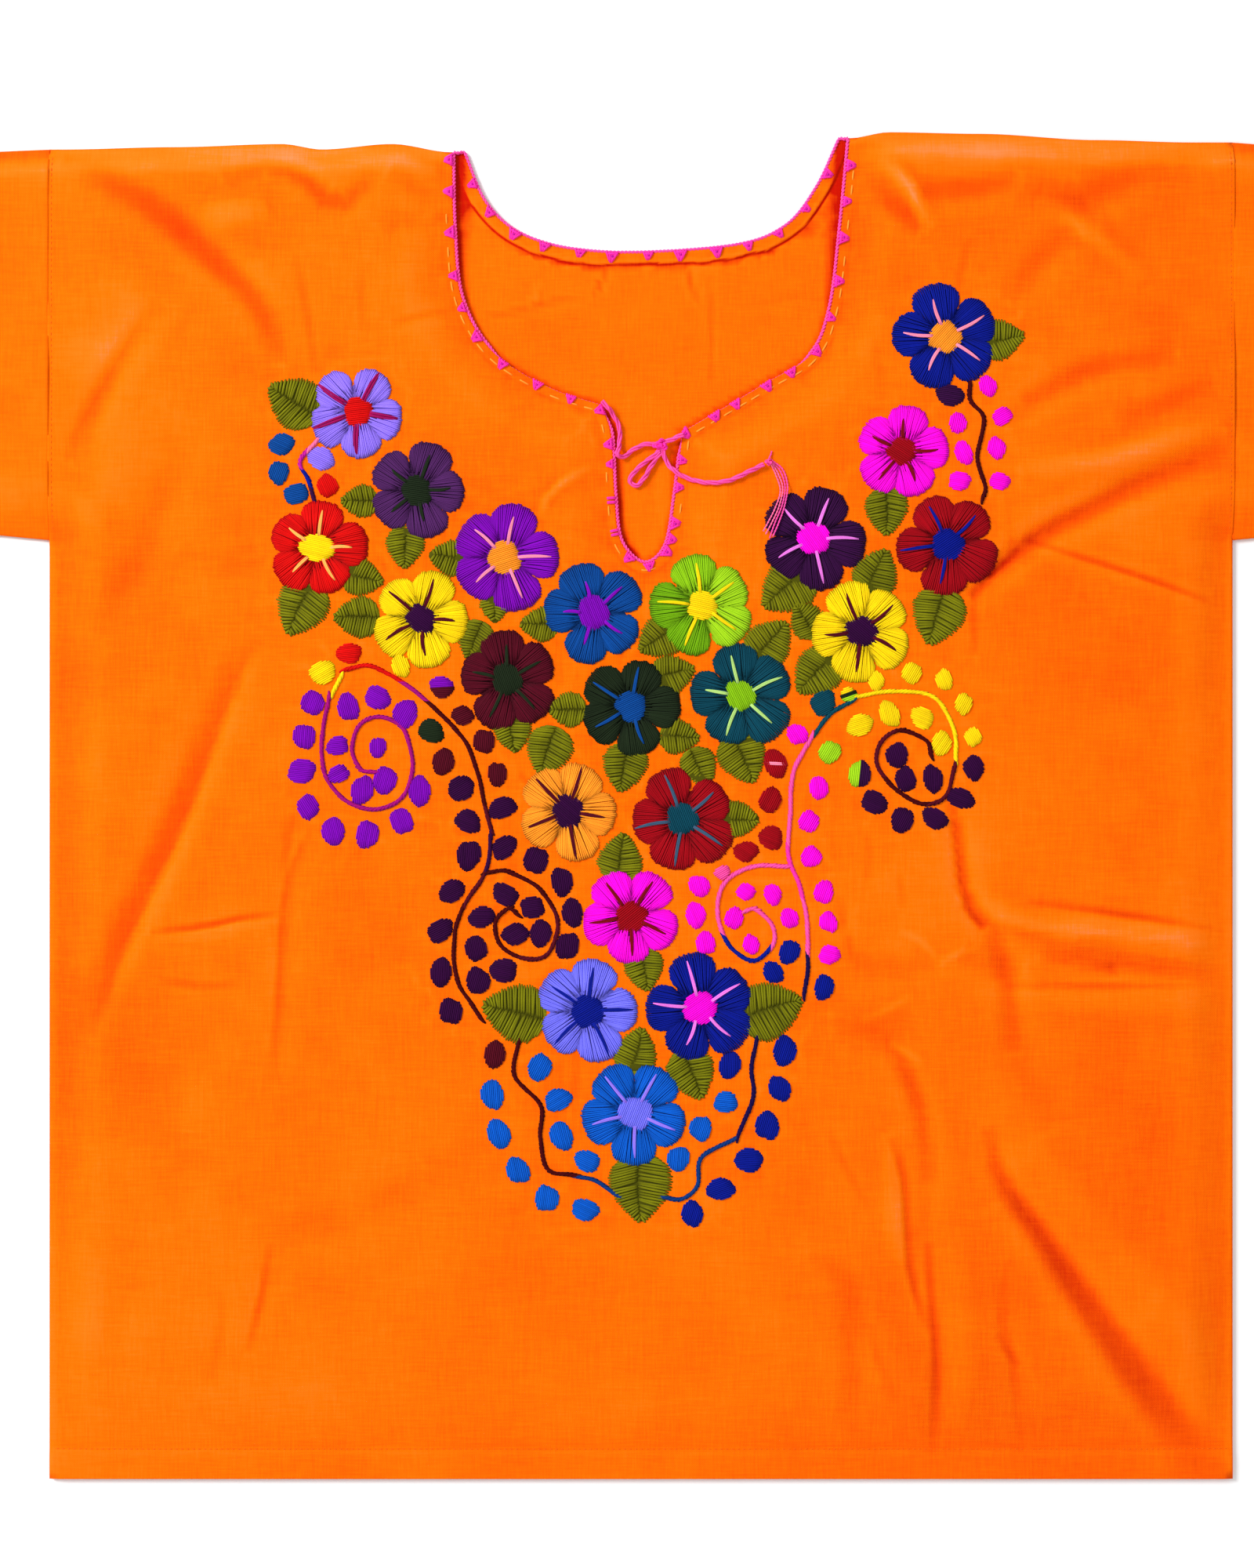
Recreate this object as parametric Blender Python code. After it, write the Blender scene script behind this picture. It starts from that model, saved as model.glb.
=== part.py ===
"""Embroidered blouse laid flat with its front up: a wide, straight cut body with a deep round neck, a
slit at the throat that a yarn tie closes, and short plain sleeves.

The scene is in metres, +Z up, with the neck toward +Y and the origin under the middle of the garment.
The sizes and tables below are in millimetres, and the embroidery is laid out on a chart of even steps.
"""

import math
from collections import namedtuple

import bmesh
import bpy
from mathutils import Vector
from mathutils.bvhtree import BVHTree
from mathutils.geometry import delaunay_2d_cdt

MM = 0.001

# The cut
BODY_HALF_WIDTH = 355.0
SHOULDER_Y = 400.0
HEM_Y = -403.0
UNDERARM_Y = 160.0
CUFF_X = 480.0
CUFF_TOP_Y = 389.0
CUFF_BOTTOM_Y = 172.0
WALL = 1.2
SEAM_GAP = 0.3

# The neck's finish
BACK_HEM_WIDTH = 7.0
BACK_HEM_RAISE = 0.9
BACK_HEM_FADE = 28.0
EDGING_RADIUS = 0.9

# How the front lies over the back
LOFT = 3.2
SHOULDER_ROLL = 15.0
SIDE_ROLL = 34.0
HEM_FADE = 60.0
NECK_FADE = 32.0
NECK_LIE = 0.5

# The tie
TIE_RADIUS = 1.5
KNOT_SIZE = (9.0, 7.5, 4.6)
KNOT_PLACE = (843, 568)
TASSEL_HEAD_RADIUS = 2.2
TASSEL_THREAD_RADIUS = 0.55

# The embroidery's relief
FLOWER_RADIUS = 28.0
FLOWER_NOTCH = 19.5
FLOWER_CENTRE = 9.0
LEAF_WIDTH_SHARE = 0.78
BERRY_RADIUS = 7.8
STITCH_RISE = 0.9
CENTRE_RISE = 1.5
STITCH_SLOPE = 2.2

# The meshes' spacing
CLOTH_STEP = 23.0
EDGE_STEP = 20.0
NECK_STEP = 9.0
LEAST_STEP = 1.6

# The chart: one step is this many millimetres, x runs right from the left edge and y runs down
CHART_STEP = 0.47
CHART_AXIS = 818
CHART_SHOULDER = 178

ChartPoint = namedtuple("ChartPoint", "x y")
Fold = namedtuple("Fold", "x0 y0 x1 y1 half_width height")
Flower = namedtuple("Flower", "x y turn")
Leaf = namedtuple("Leaf", "x y tip_x tip_y")
BerryRun = namedtuple("BerryRun", "count points")

LEFT_SHOULDER = (
    ChartPoint(80, 190),
    ChartPoint(220, 187),
    ChartPoint(360, 183),
    ChartPoint(410, 190),
    ChartPoint(500, 183),
    ChartPoint(577, 194),
)
RIGHT_SHOULDER = (
    ChartPoint(1084, 176),
    ChartPoint(1135, 168),
    ChartPoint(1250, 170),
    ChartPoint(1400, 178),
    ChartPoint(1522, 181),
)
FRONT_NECK_LEFT = (
    ChartPoint(577, 194),
    ChartPoint(579, 290),
    ChartPoint(589, 380),
    ChartPoint(628, 448),
    ChartPoint(700, 494),
    ChartPoint(768, 517),
)
SLIT = (
    ChartPoint(768, 517),
    ChartPoint(780, 556),
    ChartPoint(784, 630),
    ChartPoint(792, 690),
    ChartPoint(822, 719),
    ChartPoint(850, 696),
    ChartPoint(862, 630),
    ChartPoint(871, 551),
)
FRONT_NECK_RIGHT = (
    ChartPoint(871, 551),
    ChartPoint(975, 490),
    ChartPoint(1035, 452),
    ChartPoint(1060, 392),
    ChartPoint(1073, 290),
    ChartPoint(1084, 176),
)
BACK_NECK = (
    ChartPoint(590, 190),
    ChartPoint(622, 262),
    ChartPoint(680, 305),
    ChartPoint(780, 322),
    ChartPoint(930, 314),
    ChartPoint(1000, 290),
    ChartPoint(1042, 240),
    ChartPoint(1073, 174),
)

FOLDS = (
    Fold(95, 215, 240, 318, 15, -3.0),
    Fold(240, 318, 365, 440, 13, -2.6),
    Fold(130, 330, 330, 260, 22, 2.2),
    Fold(235, 415, 100, 610, 20, -2.2),
    Fold(330, 520, 190, 760, 26, 2.4),
    Fold(268, 985, 110, 1330, 17, -3.0),
    Fold(200, 900, 60, 1180, 24, 2.2),
    Fold(365, 1090, 335, 1720, 13, -2.2),
    Fold(420, 1450, 400, 1850, 30, 2.0),
    Fold(1530, 640, 1275, 765, 20, -2.8),
    Fold(1520, 520, 1330, 590, 26, 2.6),
    Fold(1560, 760, 1360, 880, 28, 2.0),
    Fold(1130, 1180, 1540, 1205, 15, 2.8),
    Fold(1100, 1222, 1540, 1258, 12, -2.4),
    Fold(1222, 1000, 1300, 1175, 12, -1.8),
    Fold(1180, 1400, 1192, 1830, 12, -2.6),
    Fold(1060, 1560, 1120, 1850, 26, 2.2),
    Fold(1250, 1420, 1530, 1830, 17, -3.0),
    Fold(1330, 1390, 1570, 1680, 26, 3.2),
    Fold(1270, 1600, 1310, 1850, 22, 2.2),
    Fold(1430, 230, 1230, 330, 18, -2.0),
    Fold(1190, 240, 1130, 420, 20, 1.8),
    Fold(500, 240, 450, 420, 20, 1.8),
)

FLOWERS = (
    Flower(457, 527, 70),
    Flower(533, 627, 62),
    Flower(406, 700, 80),
    Flower(645, 712, 78),
    Flower(538, 790, 66),
    Flower(758, 783, 55),
    Flower(895, 773, 62),
    Flower(1037, 688, 82),
    Flower(1150, 577, 84),
    Flower(1205, 432, 80),
    Flower(1208, 695, 86),
    Flower(1098, 806, 84),
    Flower(648, 868, 72),
    Flower(805, 902, 64),
    Flower(945, 888, 70),
    Flower(725, 1035, 68),
    Flower(871, 1045, 76),
    Flower(805, 1168, 86),
    Flower(750, 1288, 62),
    Flower(893, 1285, 84),
    Flower(810, 1418, 50),
)

LEAVES = (
    Leaf(375, 513, 343, 493),
    Leaf(458, 640, 434, 640),
    Leaf(518, 700, 517, 728),
    Leaf(572, 712, 546, 708),
    Leaf(465, 738, 492, 744),
    Leaf(385, 778, 368, 812),
    Leaf(455, 788, 425, 788),
    Leaf(632, 775, 632, 797),
    Leaf(606, 818, 596, 842),
    Leaf(687, 797, 662, 797),
    Leaf(722, 905, 697, 905),
    Leaf(655, 935, 659, 962),
    Leaf(700, 960, 690, 992),
    Leaf(860, 860, 888, 853),
    Leaf(840, 815, 814, 832),
    Leaf(868, 940, 894, 942),
    Leaf(797, 980, 791, 1012),
    Leaf(893, 980, 905, 1004),
    Leaf(948, 968, 962, 1000),
    Leaf(983, 818, 1005, 793),
    Leaf(1002, 752, 972, 777),
    Leaf(1028, 790, 1014, 768),
    Leaf(1040, 860, 1016, 885),
    Leaf(1118, 730, 1131, 700),
    Leaf(1130, 655, 1130, 686),
    Leaf(1278, 434, 1307, 428),
    Leaf(1195, 788, 1184, 825),
    Leaf(943, 1045, 970, 1045),
    Leaf(792, 1092, 796, 1060),
    Leaf(822, 1237, 826, 1265),
    Leaf(655, 1290, 614, 1280),
    Leaf(985, 1287, 1025, 1274),
    Leaf(812, 1338, 820, 1308),
    Leaf(883, 1370, 896, 1402),
    Leaf(817, 1515, 818, 1560),
)

BERRY_RUNS = (
    BerryRun(3, ((361, 568), (357, 605), (379, 631))),
    BerryRun(2, ((411, 586), (419, 621))),
    BerryRun(4, ((1211, 504), (1224, 552), (1222, 610))),
    BerryRun(4, ((1259, 491), (1275, 530), (1272, 611))),
    BerryRun(3, ((447, 834), (413, 858), (400, 897))),
    BerryRun(7, ((389, 939), (387, 1000), (430, 1060), (490, 1060), (536, 1010))),
    BerryRun(3, ((445, 903), (477, 889), (517, 911))),
    BerryRun(4, ((432, 951), (433, 987), (463, 1009), (492, 995))),
    BerryRun(1, ((483, 954),)),
    BerryRun(1, ((512, 850),)),
    BerryRun(4, ((551, 932), (568, 975), (591, 1010), (598, 1047))),
    BerryRun(5, ((599, 1090), (572, 1150), (560, 1215), (576, 1289))),
    BerryRun(4, ((564, 877), (588, 909), (622, 952), (635, 987))),
    BerryRun(2, ((641, 1030), (643, 1081))),
    BerryRun(4, ((684, 1097), (717, 1123), (730, 1160), (724, 1206))),
    BerryRun(3, ((615, 1169), (608, 1208), (611, 1250))),
    BerryRun(1, ((644, 1237),)),
    BerryRun(4, ((645, 1141), (684, 1161), (688, 1196), (658, 1191))),
    BerryRun(1, ((1050, 897),)),
    BerryRun(4, ((1017, 937), (990, 975), (980, 1025), (984, 1068))),
    BerryRun(1, ((952, 1086),)),
    BerryRun(1, ((1058, 959),)),
    BerryRun(7, ((1044, 1005), (1034, 1070), (1053, 1140), (1057, 1217), (1051, 1258))),
    BerryRun(3, ((1162, 861), (1201, 867), (1228, 897))),
    BerryRun(7, ((1240, 940), (1238, 990), (1197, 1040), (1140, 1042), (1095, 990))),
    BerryRun(4, ((1096, 925), (1136, 911), (1179, 918), (1200, 948))),
    BerryRun(3, ((1143, 962), (1154, 994), (1189, 993))),
    BerryRun(3, ((892, 1131), (888, 1170), (900, 1203))),
    BerryRun(4, ((936, 1171), (951, 1137), (987, 1141), (1007, 1171))),
    BerryRun(1, ((958, 1204),)),
    BerryRun(2, ((1007, 1213), (986, 1240))),
    BerryRun(6, ((632, 1344), (630, 1420), (660, 1490), (700, 1528), (747, 1542))),
    BerryRun(4, ((689, 1360), (711, 1398), (716, 1447), (750, 1480))),
    BerryRun(6, ((1001, 1339), (991, 1400), (962, 1469), (920, 1514), (883, 1547))),
    BerryRun(4, ((931, 1358), (927, 1401), (900, 1429), (865, 1476))),
)

# The tie's route on the chart, and how far each point is lifted off what it lies on, in millimetres
TiePoint = namedtuple("TiePoint", "x y lift")
TIE_LEFT = (
    TiePoint(783, 526, 0.3),
    TiePoint(795, 545, 0.0),
    TiePoint(797, 572, 0.0),
    TiePoint(796, 589, 0.0),
    TiePoint(806, 584, 0.2),
    TiePoint(820, 573, 0.8),
    TiePoint(832, 569, 1.0),
)
TIE_RIGHT = (
    TiePoint(875, 555, 0.0),
    TiePoint(862, 560, 0.6),
    TiePoint(854, 563, 1.0),
)
TIE_BOW = (
    TiePoint(837, 579, 0.8),
    TiePoint(823, 590, 0.2),
    TiePoint(808, 606, 0.0),
    TiePoint(808, 617, 0.0),
    TiePoint(818, 616, 0.0),
    TiePoint(830, 600, 0.2),
    TiePoint(844, 579, 0.8),
)
TIE_FREE_END = (
    TiePoint(852, 578, 1.0),
    TiePoint(856, 590, 0.4),
    TiePoint(868, 601, 0.1),
    TiePoint(884, 608, 0.1),
    TiePoint(905, 612, 0.0),
    TiePoint(928, 611, 0.0),
    TiePoint(950, 603, 0.2),
    TiePoint(971, 593, 0.6),
)
TASSEL_HEAD = TiePoint(979, 590, 0.0)
TASSEL_THREADS = (
    ((988, 592), (1001, 606), (1003, 632), (990, 664), (982, 684)),
    ((986, 596), (995, 609), (997, 632), (984, 662), (975, 681)),
    ((988, 588), (1007, 603), (1010, 632), (998, 664), (989, 686)),
    ((984, 599), (989, 612), (990, 634), (978, 660), (968, 676)),
)

FrontPoint = namedtuple("FrontPoint", "x y rise")


def chart(point):
    """A point of the chart in millimetres from the middle of the garment."""
    return Vector(((point[0] - CHART_AXIS) * CHART_STEP, SHOULDER_Y - (point[1] - CHART_SHOULDER) * CHART_STEP))


def clear_scene():
    for obj in list(bpy.data.objects):
        bpy.data.objects.remove(obj, do_unlink=True)


def parts_collection():
    collection = bpy.data.collections.new("blouse")
    bpy.context.scene.collection.children.link(collection)
    return collection


def make_material(name, colour, roughness):
    material = bpy.data.materials.new(name)
    material.use_nodes = True
    shader = material.node_tree.nodes["Principled BSDF"]
    shader.inputs["Base Color"].default_value = (*colour, 1.0)
    shader.inputs["Roughness"].default_value = roughness
    return material


def eased(share):
    """0 to 1 with soft ends."""
    share = min(max(share, 0.0), 1.0)
    return share * share * (3.0 - 2.0 * share)


def curve_through(points, step):
    """Evenly spaced points on the smooth curve through these, its two ends kept."""
    points = [Vector(point) for point in points]
    if len(points) == 1:
        return points
    ends = [2 * points[0] - points[1], *points, 2 * points[-1] - points[-2]]
    fine = []
    for a, b, c, d in zip(ends, ends[1:], ends[2:], ends[3:]):
        for i in range(24):
            t = i / 24
            fine.append(
                0.5 * (2 * b + (c - a) * t + (2 * a - 5 * b + 4 * c - d) * t**2 + (3 * b - a - 3 * c + d) * t**3)
            )
    fine.append(points[-1])
    return evenly(fine, step)


def evenly(line, step):
    """The line's points again, at equal distances of about this step."""
    along = [0.0]
    for a, b in zip(line, line[1:]):
        along.append(along[-1] + (b - a).length)
    count = max(1, round(along[-1] / step))
    found, i = [], 0
    for k in range(count):
        place = along[-1] * k / count
        while along[i + 1] < place:
            i += 1
        share = (place - along[i]) / max(along[i + 1] - along[i], 1e-9)
        found.append(line[i].lerp(line[i + 1], share))
    return [*found, line[-1]]


def charted_curve(points, step):
    return curve_through([chart(point) for point in points], step)


def corner(x, y):
    return Vector((x, y))


def shoulder_height(x):
    """The top edge's Y at this x, read from the shoulder tables and carried on level over the sleeves."""
    line = [chart(point) for point in (LEFT_SHOULDER if x < 0 else RIGHT_SHOULDER)]
    if abs(x) >= BODY_HALF_WIDTH:
        end = line[0] if x < 0 else line[-1]
        share = (abs(x) - BODY_HALF_WIDTH) / (CUFF_X - BODY_HALF_WIDTH)
        return end.y + (CUFF_TOP_Y - end.y) * share
    for a, b in zip(line, line[1:]):
        if x <= b.x:
            break
    return a.y + (b.y - a.y) * eased((x - a.x) / (b.x - a.x))


def underarm_height(x):
    share = (abs(x) - BODY_HALF_WIDTH) / (CUFF_X - BODY_HALF_WIDTH)
    return UNDERARM_Y + (CUFF_BOTTOM_Y - UNDERARM_Y) * share


def straight(a, b, step):
    count = max(1, round((b - a).length / step))
    return [a.lerp(b, i / count) for i in range(count + 1)]


def shoulder_line(first_x, last_x):
    count = max(2, round(abs(last_x - first_x) / EDGE_STEP))
    line = []
    for i in range(count + 1):
        x = first_x + (last_x - first_x) * i / count
        line.append(corner(x, shoulder_height(x)))
    return line


def body_outline(neckline):
    """The panel's outline, counter-clockwise from the lower left corner, and which points are the neck's."""
    side = BODY_HALF_WIDTH
    left, right = neckline[0], neckline[-1]
    runs = (
        straight(corner(-side, HEM_Y), corner(side, HEM_Y), EDGE_STEP),
        straight(corner(side, HEM_Y), corner(side, shoulder_height(side)), EDGE_STEP),
        shoulder_line(side, right.x),
        list(reversed(neckline)),
        shoulder_line(left.x, -side),
        straight(corner(-side, shoulder_height(-side)), corner(-side, HEM_Y), EDGE_STEP),
    )
    outline, of_neck = [], []
    for index, run in enumerate(runs):
        for point in run[:-1]:
            outline.append(point)
            of_neck.append(index == 3)
    return outline, of_neck


def front_neckline():
    left = charted_curve(FRONT_NECK_LEFT, NECK_STEP)
    slit = charted_curve(SLIT, NECK_STEP)
    right = charted_curve(FRONT_NECK_RIGHT, NECK_STEP)
    return left[:-1] + slit[:-1] + right


def back_neckline():
    line = charted_curve(BACK_NECK, NECK_STEP)
    line[0].y = shoulder_height(line[0].x)
    line[-1].y = shoulder_height(line[-1].x)
    return line


def nearest_on(point, line, closed=False):
    """The distance from the point to the line."""
    best = math.inf
    following = line[1:] + (line[:1] if closed else [])
    for a, b in zip(line, following):
        run = b - a
        share = min(max((point - a).dot(run) / max(run.length_squared, 1e-9), 0.0), 1.0)
        best = min(best, (point - a - run * share).length)
    return best


def is_inside(point, outline):
    inside = False
    for a, b in zip(outline, outline[1:] + outline[:1]):
        if (a.y > point.y) != (b.y > point.y):
            if point.x < a.x + (point.y - a.y) / (b.y - a.y) * (b.x - a.x):
                inside = not inside
    return inside


def fold_height(x, y):
    """What the folds add to or take from the loft at this point."""
    point, total = Vector((x, y)), 0.0
    for fold in FOLDS:
        start, end = chart((fold.x0, fold.y0)), chart((fold.x1, fold.y1))
        run = end - start
        share = (point - start).dot(run) / run.length_squared
        if not 0 < share < 1:
            continue
        aside = (point - start - run * share).length / fold.half_width
        total += fold.height * math.exp(-aside * aside) * math.sin(math.pi * share) ** 0.7
    return total


def lie(x, y, neckline):
    """How far the front's inside lies over the back's upper face, besides the seam gap."""
    from_shoulder = eased((shoulder_height(x) - y) / SHOULDER_ROLL)
    if abs(x) > BODY_HALF_WIDTH:
        from_side = eased((y - underarm_height(x)) / SIDE_ROLL)
    elif y > UNDERARM_Y:
        from_side = eased(math.hypot(BODY_HALF_WIDTH - abs(x), y - UNDERARM_Y) / SIDE_ROLL)
    else:
        from_side = eased((BODY_HALF_WIDTH - abs(x)) / SIDE_ROLL)
    from_hem = eased((y - HEM_Y) / HEM_FADE)
    height = max((LOFT + fold_height(x, y)) * from_hem, 0.0) * from_shoulder * from_side
    by_neck = 1 - eased(nearest_on(Vector((x, y)), neckline) / NECK_FADE)
    return height + (NECK_LIE - height) * by_neck


def lattice(outline, keep_off):
    """Staggered points inside the outline, kept this far from it."""
    found, row = [], 0
    y = HEM_Y + CLOTH_STEP / 2
    while y < SHOULDER_Y + CLOTH_STEP:
        x = -BODY_HALF_WIDTH + (row % 2) * CLOTH_STEP / 2
        while x < BODY_HALF_WIDTH:
            point = Vector((x, y))
            if is_inside(point, outline) and nearest_on(point, outline, closed=True) > keep_off:
                found.append(point)
            x += CLOTH_STEP
        y += CLOTH_STEP * math.sqrt(3) / 2
        row += 1
    return found


def inset_ring(outline, distance, far_from):
    """Points this far inside the outline, left out where they would crowd the neck or each other."""
    found = []
    for before, here, after in zip(outline[-1:] + outline[:-1], outline, outline[1:] + outline[:1]):
        along = (after - before).normalized()
        point = here + Vector((-along.y, along.x)) * distance
        clear = nearest_on(point, outline, closed=True) > distance * 0.9
        if clear and nearest_on(point, far_from) > distance * 1.5 and is_inside(point, outline):
            found.append(point)
    return found


def triangulated(points, boundary_count):
    """Triangles over the points, inside the closed line that the first ones make."""
    edges = [(i, (i + 1) % boundary_count) for i in range(boundary_count)]
    places, _, faces, sources, _, _ = delaunay_2d_cdt(points, edges, [], 1, 1e-5)
    if len(places) != len(points):
        raise ValueError("two points of the cloth lie on each other")
    order = [source[0] for source in sources]
    return [[order[i] for i in face] for face in faces]


def flower_points(flower):
    """The flower's foot, its raised edge and its centre, as points with their rise."""
    middle = chart((flower.x, flower.y))
    found = []
    for ring_in, rise in ((0.0, 0.0), (STITCH_SLOPE, STITCH_RISE)):
        for petal in range(5):
            for aside in (-36, -18, 0, 18):
                angle = math.radians(flower.turn + 72 * petal + aside)
                swell = abs(math.cos(math.radians(2.5 * aside))) ** 0.6
                reach = FLOWER_NOTCH + (FLOWER_RADIUS - FLOWER_NOTCH) * swell - ring_in
                found.append(around(middle, reach, angle, rise))
    for k in range(7):
        found.append(around(middle, FLOWER_CENTRE, k * math.tau / 7, STITCH_RISE))
    found.append(FrontPoint(middle.x, middle.y, CENTRE_RISE))
    return middle, FLOWER_RADIUS + 2, found


def around(middle, reach, angle, rise):
    return FrontPoint(middle.x + reach * math.cos(angle), middle.y + reach * math.sin(angle), rise)


def leaf_points(leaf):
    middle, tip = chart((leaf.x, leaf.y)), chart((leaf.tip_x, leaf.tip_y))
    half = tip - middle
    across = Vector((-half.y, half.x)) * LEAF_WIDTH_SHARE
    found = []
    for shrink, rise in ((1.0, 0.0), (1 - STITCH_SLOPE / half.length, STITCH_RISE)):
        for along, wide in ((1, 0), (0.55, 0.62), (-0.1, 0.95), (-0.7, 0.6), (-1, 0)):
            for side in (-1, 1) if wide else (1,):
                place = middle + (half * along + across * wide * side) * shrink
                found.append(FrontPoint(place.x, place.y, rise))
    return middle, half.length + 1, found


def berry_points(middle):
    found = [around(middle, BERRY_RADIUS, k * math.tau / 6, 0.0) for k in range(6)]
    found.append(FrontPoint(middle.x, middle.y, STITCH_RISE + 0.3))
    return middle, BERRY_RADIUS + 1, found


def berry_middles():
    for run in BERRY_RUNS:
        line = [chart(point) for point in run.points]
        if run.count == 1:
            yield line[0]
            continue
        fine = curve_through(line, 1.0)
        last = len(fine) - 1
        for k in range(run.count):
            yield fine[round(last * k / (run.count - 1))]


def embroidery_points():
    """Every motif's points, those in front first, without the ones that another motif covers."""
    motifs = [flower_points(flower) for flower in FLOWERS]
    motifs += [leaf_points(leaf) for leaf in LEAVES]
    motifs += [berry_points(middle) for middle in berry_middles()]
    kept, cells = [], {}
    covered = []
    for middle, reach, points in motifs:
        for point in points:
            place = Vector((point.x, point.y))
            if any((place - other).length < size for other, size in covered):
                continue
            cell = (round(point.x / LEAST_STEP), round(point.y / LEAST_STEP))
            near = [cells.get((cell[0] + i, cell[1] + j)) for i in (-1, 0, 1) for j in (-1, 0, 1)]
            if any(other and math.dist(other, place) < LEAST_STEP for other in near):
                continue
            cells[cell] = tuple(place)
            kept.append(point)
        covered.append((middle, reach - 2))
    return kept, [(middle, reach) for middle, reach, _ in motifs]


def new_object(name, vertices, faces, material, collection):
    """A closed body from points in millimetres."""
    mesh = bpy.data.meshes.new(name)
    mesh.from_pydata([Vector(vertex) * MM for vertex in vertices], [], faces)
    body = bmesh.new()
    body.from_mesh(mesh)
    bmesh.ops.recalc_face_normals(body, faces=body.faces)
    body.to_mesh(mesh)
    body.free()
    mesh.materials.append(material)
    obj = bpy.data.objects.new(name, mesh)
    collection.objects.link(obj)
    return obj


def wall_between(lower, lower_faces, upper, upper_faces, boundary_count):
    """One closed body from two sheets whose first points are the same closed line."""
    shift = len(lower)
    faces = [list(reversed(face)) for face in lower_faces]
    faces += [[i + shift for i in face] for face in upper_faces]
    for i in range(boundary_count):
        j = (i + 1) % boundary_count
        faces.append([i, j, j + shift, i + shift])
    return lower + upper, faces


def make_front_panel(material, collection):
    """The front: a plain inside, and the same sheet again with the flowers, leaves and berries raised."""
    neckline = front_neckline()
    outline, _ = body_outline(neckline)
    count = len(outline)
    inner = outline + inset_ring(outline, SHOULDER_ROLL * 0.6, neckline)
    inner += [p for p in lattice(outline, CLOTH_STEP * 0.42) if not crowds(p, inner[count:], CLOTH_STEP * 0.5)]
    floor = WALL + SEAM_GAP
    lower = [(p.x, p.y, floor + lie(p.x, p.y, neckline)) for p in inner]
    lower_faces = triangulated(inner, count)

    sheet = BVHTree.FromPolygons(lower, lower_faces)
    motif_points, covered = embroidery_points()
    plain = inner[:count]
    plain += [p for p in inner[count:] if all((p - middle).length > reach for middle, reach in covered)]
    upper = []
    for place in plain:
        upper.append((place.x, place.y, height_of(sheet, place, floor, neckline) + WALL))
    for point in motif_points:
        place = Vector((point.x, point.y))
        upper.append((point.x, point.y, height_of(sheet, place, floor, neckline) + WALL + point.rise))
    upper_faces = triangulated([Vector(point[:2]) for point in upper], count)
    vertices, faces = wall_between(lower, lower_faces, upper, upper_faces, count)
    return new_object("front_panel", vertices, faces, material, collection)


def crowds(point, others, distance):
    return any((point - other).length < distance for other in others)


def height_of(sheet, place, floor, neckline):
    """The inner sheet's height at this place, so that the wall is as thick between its points."""
    hit = sheet.ray_cast(Vector((place.x, place.y, 100.0)), Vector((0, 0, -1)))[0]
    return hit.z if hit else floor + lie(place.x, place.y, neckline)


def beside(line, distance):
    """The line again, moved this far to its left."""
    moved = []
    for i, here in enumerate(line):
        along = (line[min(i + 1, len(line) - 1)] - line[max(i - 1, 0)]).normalized()
        moved.append(here + Vector((-along.y, along.x)) * distance)
    return moved


def make_back_panel(material, collection):
    """The back: flat underneath, with the neck's turned hem raised along its upper face."""
    neckline = back_neckline()
    outline, of_neck = body_outline(neckline)
    count = len(outline)
    length = NECK_STEP * (len(neckline) - 1)

    def hem_rise(index):
        from_end = min(index, len(neckline) - 1 - index) * NECK_STEP
        return BACK_HEM_RAISE * eased(min(from_end, length / 2) / BACK_HEM_FADE)

    rises = [hem_rise(index) for index in range(len(neckline))]
    by_place = {(p.x, p.y): rise for p, rise in zip(neckline, rises)}
    upper_plan, heights = list(outline), []
    for point, neck in zip(outline, of_neck):
        heights.append(WALL + (by_place[(point.x, point.y)] if neck else 0.0))
    for distance, share in ((BACK_HEM_WIDTH - 1.0, 1.0), (BACK_HEM_WIDTH, 0.0)):
        ring = beside(neckline, -distance)
        for point, rise in list(zip(ring, rises))[1:-1]:
            upper_plan.append(point)
            heights.append(WALL + rise * share)
    far = [p for p in lattice(outline, CLOTH_STEP) if int(p.x // CLOTH_STEP) % 3 == 0]
    far = [p for p in far if nearest_on(p, neckline) > BACK_HEM_WIDTH * 2]
    upper_plan += far
    heights += [WALL] * len(far)
    upper = [(p.x, p.y, z) for p, z in zip(upper_plan, heights)]
    lower_plan = outline + far
    lower = [(p.x, p.y, 0.0) for p in lower_plan]
    vertices, faces = wall_between(
        lower, triangulated(lower_plan, count), upper, triangulated(upper_plan, count), count
    )
    return new_object("back_panel", vertices, faces, material, collection)


def sleeve_section(x, neckline):
    """The flattened tube at this x: its outer line and, wall by wall inside it, its inner line."""
    top, bottom = shoulder_height(x), underarm_height(x)
    shares = (0.0, 0.03, 0.10, 0.2, 0.32, 0.44, 0.56, 0.68, 0.8, 0.90, 0.97, 1.0)
    outer, inner = [], []
    low_inside, tuck = bottom + WALL, top - WALL
    for share in shares:
        outer.append((x, bottom + (top - bottom) * share, 0.0))
        inner.append((x, low_inside + (tuck - low_inside) * share, WALL))
    for share in reversed(shares):
        y = bottom + (top - bottom) * share
        y_inside = low_inside + (tuck - low_inside) * share
        inside = WALL + SEAM_GAP + lie(x, y, neckline)
        outer.append((x, y, inside + WALL))
        inner.append((x, y_inside, inside))
    return outer, inner


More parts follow.
